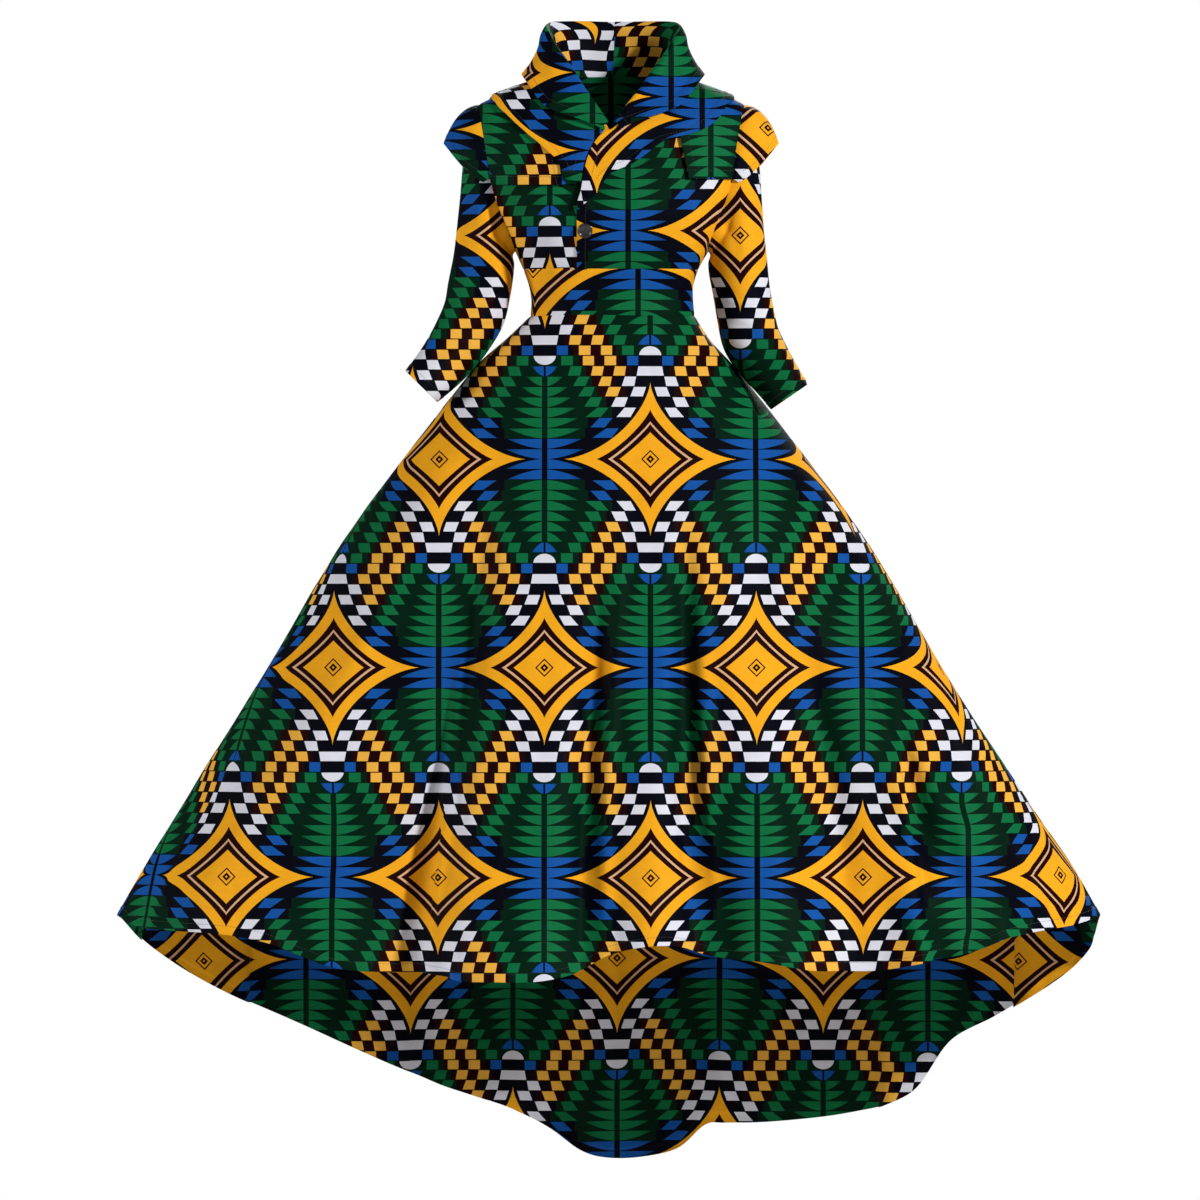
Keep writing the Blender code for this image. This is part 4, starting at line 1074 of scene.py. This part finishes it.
def floor_material():
    """Matt pale paper."""
    material, build, inputs = new_material("pale_floor", Roughness=0.9)
    cloud = build.clouds(build.add("ShaderNodeTexCoord").outputs["Object"], PAPER_SCALE, PAPER_DETAIL)
    build.feed(inputs["Base Color"], build.mix(cloud, *PAPER_TONES))
    return material


def stitch_tree():
    """Geometry nodes that lay one small stitch after another along each line of a mesh."""
    if "dress_stitches" in bpy.data.node_groups:
        return bpy.data.node_groups["dress_stitches"]
    tree = bpy.data.node_groups.new("dress_stitches", "GeometryNodeTree")
    tree.interface.new_socket("Geometry", in_out="INPUT", socket_type="NodeSocketGeometry")
    for label in ("Pitch", "Length", "Thickness"):
        tree.interface.new_socket(label, in_out="INPUT", socket_type="NodeSocketFloat")
    tree.interface.new_socket("Thread", in_out="INPUT", socket_type="NodeSocketMaterial")
    tree.interface.new_socket("Geometry", in_out="OUTPUT", socket_type="NodeSocketGeometry")
    build = Tree(tree)
    given = build.add("NodeGroupInput").outputs
    curve = build.add("GeometryNodeMeshToCurve", given["Geometry"]).outputs[0]
    even = build.add("GeometryNodeResampleCurve", curve, mode="LENGTH")
    build.feed(even.inputs["Length"], given["Pitch"])
    ball = build.add("GeometryNodeMeshIcoSphere", 0.5, 1).outputs[0]
    size = build.add("ShaderNodeCombineXYZ", given["Length"], given["Thickness"], given["Thickness"]).outputs[0]
    turn = build.add("FunctionNodeAlignRotationToVector", axis="X")
    build.feed(turn.inputs["Vector"], build.add("GeometryNodeInputTangent").outputs[0])
    laid = build.add("GeometryNodeInstanceOnPoints", even.outputs[0])
    build.feed(laid.inputs["Instance"], ball)
    build.feed(laid.inputs["Rotation"], turn.outputs[0])
    build.feed(laid.inputs["Scale"], size)
    real = build.add("GeometryNodeRealizeInstances", laid.outputs[0]).outputs[0]
    dyed = build.add("GeometryNodeSetMaterial", real)
    build.feed(dyed.inputs["Material"], given["Thread"])
    build.feed(build.add("NodeGroupOutput").inputs["Geometry"], dyed.outputs[0])
    return tree


def line_at(grid, normals, axis, far, distance, lift):
    """Points at a distance from one border of a grid, a little above the cloth."""
    lines = grid if axis == 0 else grid.transpose(1, 0, 2)
    over = normals if axis == 0 else normals.transpose(1, 0, 2)
    if far:
        lines, over = lines[::-1], over[::-1]
    along = lengths_along(lines, 0)
    raised = lines + over * lift
    points = []
    for line in range(lines.shape[1]):
        if along[-1, line] > STITCH_ROOM * distance:
            points.append([np.interp(distance, along[:, line], raised[:, line, part]) for part in range(3)])
    return points


def stitched(name, lines):
    """Rows of stitches along lines of points, as one piece."""
    sizes = bpy.context.scene.dress_sizes
    points = []
    edges = []
    for line in lines:
        edges += [(index, index + 1) for index in range(len(points), len(points) + len(line) - 1)]
        points += line
    mesh = bpy.data.meshes.new(name)
    mesh.from_pydata(points, edges, [])
    piece = add_piece(name, mesh, thread_material())
    modifier = piece.modifiers.new("stitches", "NODES")
    modifier.node_group = stitch_tree()
    values = {
        "Pitch": sizes.stitch_pitch, "Length": sizes.stitch_length,
        "Thickness": sizes.stitch_thickness, "Thread": thread_material(),
    }
    for item in modifier.node_group.interface.items_tree:
        if item.in_out == "INPUT" and item.name in values:
            modifier[item.identifier] = values[item.name]
    plain_mesh(piece).shade_smooth()
    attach(piece, ROOT)
    return piece


def sewn_panel(name):
    sizes = bpy.context.scene.dress_sizes
    panel = PANELS[name]
    piece, grid, normals, flat, area = cloth_piece(name)
    inset = sizes.hem_width - STITCH_INSET
    lift = sizes.stitch_thickness * STITCH_LIFT
    lines = []
    borders = [(panel.low, 0, False), (panel.high, 0, True), (panel.first, 1, False), (panel.last, 1, True)]
    for kind, axis, far in borders:
        if kind == HEM:
            line = line_at(grid, normals, axis, far, inset, lift)
            if len(line) > 2:
                lines.append(line)
    with_pieces = [stitched(name + "_stitches", lines)] if lines else []


def as_mesh(name, shape):
    """The mesh of a finished shape, which is then freed."""
    mesh = bpy.data.meshes.new(name)
    shape.to_mesh(mesh)
    shape.free()
    return mesh


def turned_body(centre, side, rise, face, radius, depth):
    """The button's outline turned round its middle."""
    shape = bmesh.new()
    rings = []
    for share, level in BUTTON_PROFILE:
        ring = []
        for turn in range(BUTTON_SIDES):
            angle = math.tau * turn / BUTTON_SIDES
            flat = side * math.cos(angle) + rise * math.sin(angle)
            ring.append(shape.verts.new(centre + flat * radius * share + face * depth * level))
        rings.append(ring)
    for low, high in zip(rings, rings[1:]):
        for turn in range(BUTTON_SIDES):
            after = (turn + 1) % BUTTON_SIDES
            shape.faces.new((low[turn], low[after], high[after], high[turn]))
    shape.faces.new(rings[0][::-1])
    shape.faces.new(rings[-1])
    bmesh.ops.recalc_face_normals(shape, faces=shape.faces)
    return shape


def build_button():
    """A dished resin button with a rim, four holes and its thread, in place of the plain disc."""
    points = np.array([vertex.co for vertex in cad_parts["button"].data.vertices])
    centre = (points.min(axis=0) + points.max(axis=0)) / 2
    face = np.linalg.svd(points - points.mean(axis=0), full_matrices=False)[2][2]
    face = -face if face[1] > 0 else face
    side = np.cross(face, (0.0, 0.0, 1.0))
    side /= np.linalg.norm(side)
    rise = np.cross(side, face)
    radius = np.linalg.norm((points - centre) @ np.array([side, rise]).T, axis=1).max()
    depth = np.abs((points - centre) @ face).max()
    turned = Matrix([side, rise, face]).transposed().to_4x4()
    body = as_mesh("button_resin", turned_body(centre, side, rise, face, radius, depth))
    piece = add_piece("button_resin", body, button_material())
    cutters = bmesh.new()
    lines = []
    for across in (-1, 1):
        places = [centre + (side * across + rise * up) * radius * HOLE_SPREAD for up in (-1, 1)]
        for place in places:
            bmesh.ops.create_cone(
                cutters, cap_ends=True, segments=HOLE_SIDES, radius1=radius * HOLE_SIZE,
                radius2=radius * HOLE_SIZE, depth=depth * HOLE_DEPTH, matrix=Matrix.Translation(place) @ turned,
            )
        lines.append([place + face * depth * THREAD_LEVEL for place in places])
    holes = bpy.data.objects.new("button_holes", as_mesh("button_holes", cutters))
    bpy.context.scene.collection.objects.link(holes)
    drilled = piece.modifiers.new("holes", "BOOLEAN")
    drilled.object = holes
    drilled.solver = "EXACT"
    plain_mesh(piece).shade_smooth()
    piece.data.set_sharp_from_angle(angle=math.radians(SHARP_ANGLE))
    bpy.data.objects.remove(holes)
    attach(piece, ROOT)
    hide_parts("button")
    strand(lines, side, turned, radius * THREAD_SIZE)


def strand(lines, side, turned, size):
    """Sewing thread that bridges the button's holes."""
    shape = bmesh.new()
    for start, end in lines:
        middle = (start + end) / 2
        half = np.linalg.norm(end - start) / 2
        for offset in THREAD_OFFSETS:
            shift = Matrix.Translation(middle + side * offset * size) @ turned
            scaled = shift @ Matrix.Diagonal((size * THREAD_FLATNESS, half * THREAD_REACH, size, 1.0))
            bmesh.ops.create_icosphere(shape, subdivisions=2, radius=1.0, matrix=scaled)
    mesh = as_mesh("button_thread", shape)
    mesh.shade_smooth()
    piece = add_piece("button_thread", mesh, thread_material())
    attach(piece, ROOT)


def build_stage():
    """Pale floor, soft daylight, three soft lamps and the camera."""
    scene = bpy.context.scene
    disc = bmesh.new()
    bmesh.ops.create_circle(
        disc, cap_ends=True, segments=FLOOR_SIDES, radius=FLOOR_RADIUS,
        matrix=Matrix.Translation((0, 0, FLOOR_LEVEL)),
    )
    floor = bpy.data.objects.new("floor", as_mesh("floor", disc))
    scene.collection.objects.link(floor)
    floor.data.materials.append(floor_material())
    world = bpy.data.worlds.new("studio")
    world.use_nodes = True
    build = Tree(world.node_tree)
    sky = world.node_tree.nodes["Background"].inputs
    sky["Color"].default_value = (1.0, 1.0, 1.0, 1.0)
    seen = build.add("ShaderNodeLightPath").outputs["Is Camera Ray"]
    build.feed(sky["Strength"], build.spread(seen, (DAYLIGHT_STRENGTH, BACKDROP_STRENGTH - DAYLIGHT_STRENGTH)))
    scene.world = world
    scene.view_settings.view_transform = "Standard"
    for row in LAMPS:
        light = bpy.data.lights.new(row.name, "AREA")
        light.shape = "DISK"
        light.size = row.size
        light.energy = row.power
        lamp = bpy.data.objects.new(row.name, light)
        lamp.location = row.place
        lamp.rotation_euler = (Vector(AIM) - Vector(row.place)).to_track_quat("-Z", "Y").to_euler()
        scene.collection.objects.link(lamp)
    camera = bpy.data.objects.new("camera", bpy.data.cameras.new("camera"))
    camera.data.lens = LENS
    camera.data.sensor_width = SENSOR
    camera.location = (AIM[0], -VIEW_WIDTH * LENS / SENSOR, AIM[2])
    camera.rotation_euler = (math.pi / 2, 0.0, 0.0)
    scene.collection.objects.link(camera)
    scene.camera = camera


def linear(*screen):
    """A colour given by its screen values from 0 to 255."""
    parts = [value / 255 for value in screen]
    return tuple(part / 12.92 if part <= 0.04045 else ((part + 0.055) / 1.055) ** 2.4 for part in parts)


def size_property(label, text, value, unit="LENGTH"):
    """A size in metres, or a bare number with the unit NONE."""
    return FloatProperty(name=label, description=text, default=value, min=0.0, precision=5, unit=unit)


def colour_property(label, text, value):
    """A colour that can be picked."""
    return FloatVectorProperty(name=label, description=text, default=value, subtype="COLOR", size=3, min=0.0, max=1.0)


class DressSizes(PropertyGroup):
    """Sizes of the cloth, its borders and its stitches."""

    cloth_thickness: size_property("Cloth thickness", "Thickness of the printed cotton", 0.0010)
    hem_width: size_property("Hem width", "Width of the turned hems", 0.0130)
    hem_rise: size_property("Hem rise", "How far a turned hem stands out from the cloth", 0.0005)
    seam_depth: size_property("Seam depth", "How deep the cloth rolls in at a seam", 0.0008)
    seam_lap: size_property("Seam lap", "How far a sewn edge reaches past its neighbour's", 0.0012)
    flap_reach: size_property(
        "Flap reach", "How far the front of the left shoulder flap reaches in past its solid", 0.0095)
    crease_depth: size_property("Crease depth", "How deep the creases are, as a share of those charted", 1.0, "NONE")
    ripple: size_property("Ripple", "Height of the small unevenness of worn cloth", 0.0005)
    stitch_length: size_property("Stitch length", "Length of one stitch", 0.0028)
    stitch_pitch: size_property("Stitch pitch", "Distance from one stitch to the next", 0.0038)
    stitch_thickness: size_property("Stitch thickness", "Thickness of the sewing thread", 0.0006)


class DressColours(PropertyGroup):
    """Dyes of the print and colours of the thread and the button."""

    star: colour_property("Star yellow", "Yellow of the stars", linear(240, 166, 30))
    check: colour_property("Check yellow", "Paler yellow of the checks", linear(234, 174, 66))
    leaf: colour_property("Leaf green", "Green of the leaves and checks", linear(14, 104, 60))
    blue: colour_property("Blue", "Blue of the middle leaves and checks", linear(20, 80, 156))
    white: colour_property("White", "White of the checks", linear(216, 216, 226))
    line: colour_property("Cream line", "Cream of the star's inner line", linear(214, 170, 130))
    brown: colour_property("Dark brown", "Brown inside the stars and between the yellow checks", linear(30, 4, 3))
    dark: colour_property("Night blue", "Near black ground beside the white and blue checks", linear(5, 6, 16))
    shade: colour_property("Deep green", "Near black green ground beside the leaves", linear(3, 32, 18))
    thread: colour_property("Thread", "Sewing thread", linear(28, 30, 38))
    button: colour_property("Button", "Dark resin of the button", linear(26, 22, 24))


def sew(names):
    """Build a group of like panels."""
    for name in names:
        sewn_panel(name)
    return {"FINISHED"}


class DRESS_OT_bodice(Operator):
    """Build the two wrapped fronts and the back of the bodice"""

    bl_idname = "dress.bodice"
    bl_label = "Bodice"

    def execute(self, context):
        return sew(("bodice_front_left", "bodice_front_right", "bodice_back"))


class DRESS_OT_band(Operator):
    """Build the midriff band, front and back"""

    bl_idname = "dress.band"
    bl_label = "Midriff band"

    def execute(self, context):
        return sew(("band_front", "band_back"))


class DRESS_OT_skirt(Operator):
    """Build the high-low skirt, front and back"""

    bl_idname = "dress.skirt"
    bl_label = "Skirt"

    def execute(self, context):
        return sew(("skirt_front", "skirt_back"))


class DRESS_OT_sleeves(Operator):
    """Build the two three-quarter sleeves"""

    bl_idname = "dress.sleeves"
    bl_label = "Sleeves"

    def execute(self, context):
        return sew(("sleeve_left", "sleeve_right"))


class DRESS_OT_collar(Operator):
    """Build the collar"""

    bl_idname = "dress.collar"
    bl_label = "Collar"

    def execute(self, context):
        return sew(("collar",))


class DRESS_OT_lapels(Operator):
    """Build the two wide lapels"""

    bl_idname = "dress.lapels"
    bl_label = "Lapels"

    def execute(self, context):
        return sew(("lapel_left", "lapel_right"))


class DRESS_OT_shoulders(Operator):
    """Build the shoulder flaps and the pointed wings over the sleeves"""

    bl_idname = "dress.shoulders"
    bl_label = "Shoulder flaps and wings"

    def execute(self, context):
        flaps = ("shoulder_flap_left", "shoulder_flap_right")
        wings = ("cap_wing_left", "cap_wing_right")
        return sew(flaps + wings)


class DRESS_OT_button(Operator):
    """Build the button with its holes and thread"""

    bl_idname = "dress.button"
    bl_label = "Button"

    def execute(self, context):
        build_button()
        return {"FINISHED"}


class DRESS_OT_stage(Operator):
    """Build the floor, the lights and the camera"""

    bl_idname = "dress.stage"
    bl_label = "Stage"

    def execute(self, context):
        build_stage()
        return {"FINISHED"}


OPERATORS = [
    DRESS_OT_bodice, DRESS_OT_band, DRESS_OT_skirt, DRESS_OT_sleeves, DRESS_OT_collar, DRESS_OT_lapels,
    DRESS_OT_shoulders, DRESS_OT_button, DRESS_OT_stage,
]


class DRESS_PT_panel(Panel):
    """Lists the sizes, the colours and the steps that build the dress"""

    bl_label = "Bazin dress"
    bl_space_type = "VIEW_3D"
    bl_region_type = "UI"
    bl_category = "Dress"

    def draw(self, context):
        for values in (context.scene.dress_sizes, context.scene.dress_colours):
            box = self.layout.box()
            for label in values.__annotations__:
                box.prop(values, label)
        for operator in OPERATORS:
            self.layout.operator(operator.bl_idname)


CLASSES = [DressSizes, DressColours, *OPERATORS, DRESS_PT_panel]


def register():
    """Add the classes and the scene's properties."""
    for kind in CLASSES:
        bpy.utils.register_class(kind)
    bpy.types.Scene.dress_sizes = PointerProperty(type=DressSizes)
    bpy.types.Scene.dress_colours = PointerProperty(type=DressColours)


def unregister():
    """Remove them again."""
    del bpy.types.Scene.dress_colours
    del bpy.types.Scene.dress_sizes
    for kind in reversed(CLASSES):
        bpy.utils.unregister_class(kind)


def main():
    """Build the dress and its stage."""
    register()
    for operator in OPERATORS:
        getattr(bpy.ops.dress, operator.bl_idname.split(".")[1])()


if __name__ == "__main__":
    main()
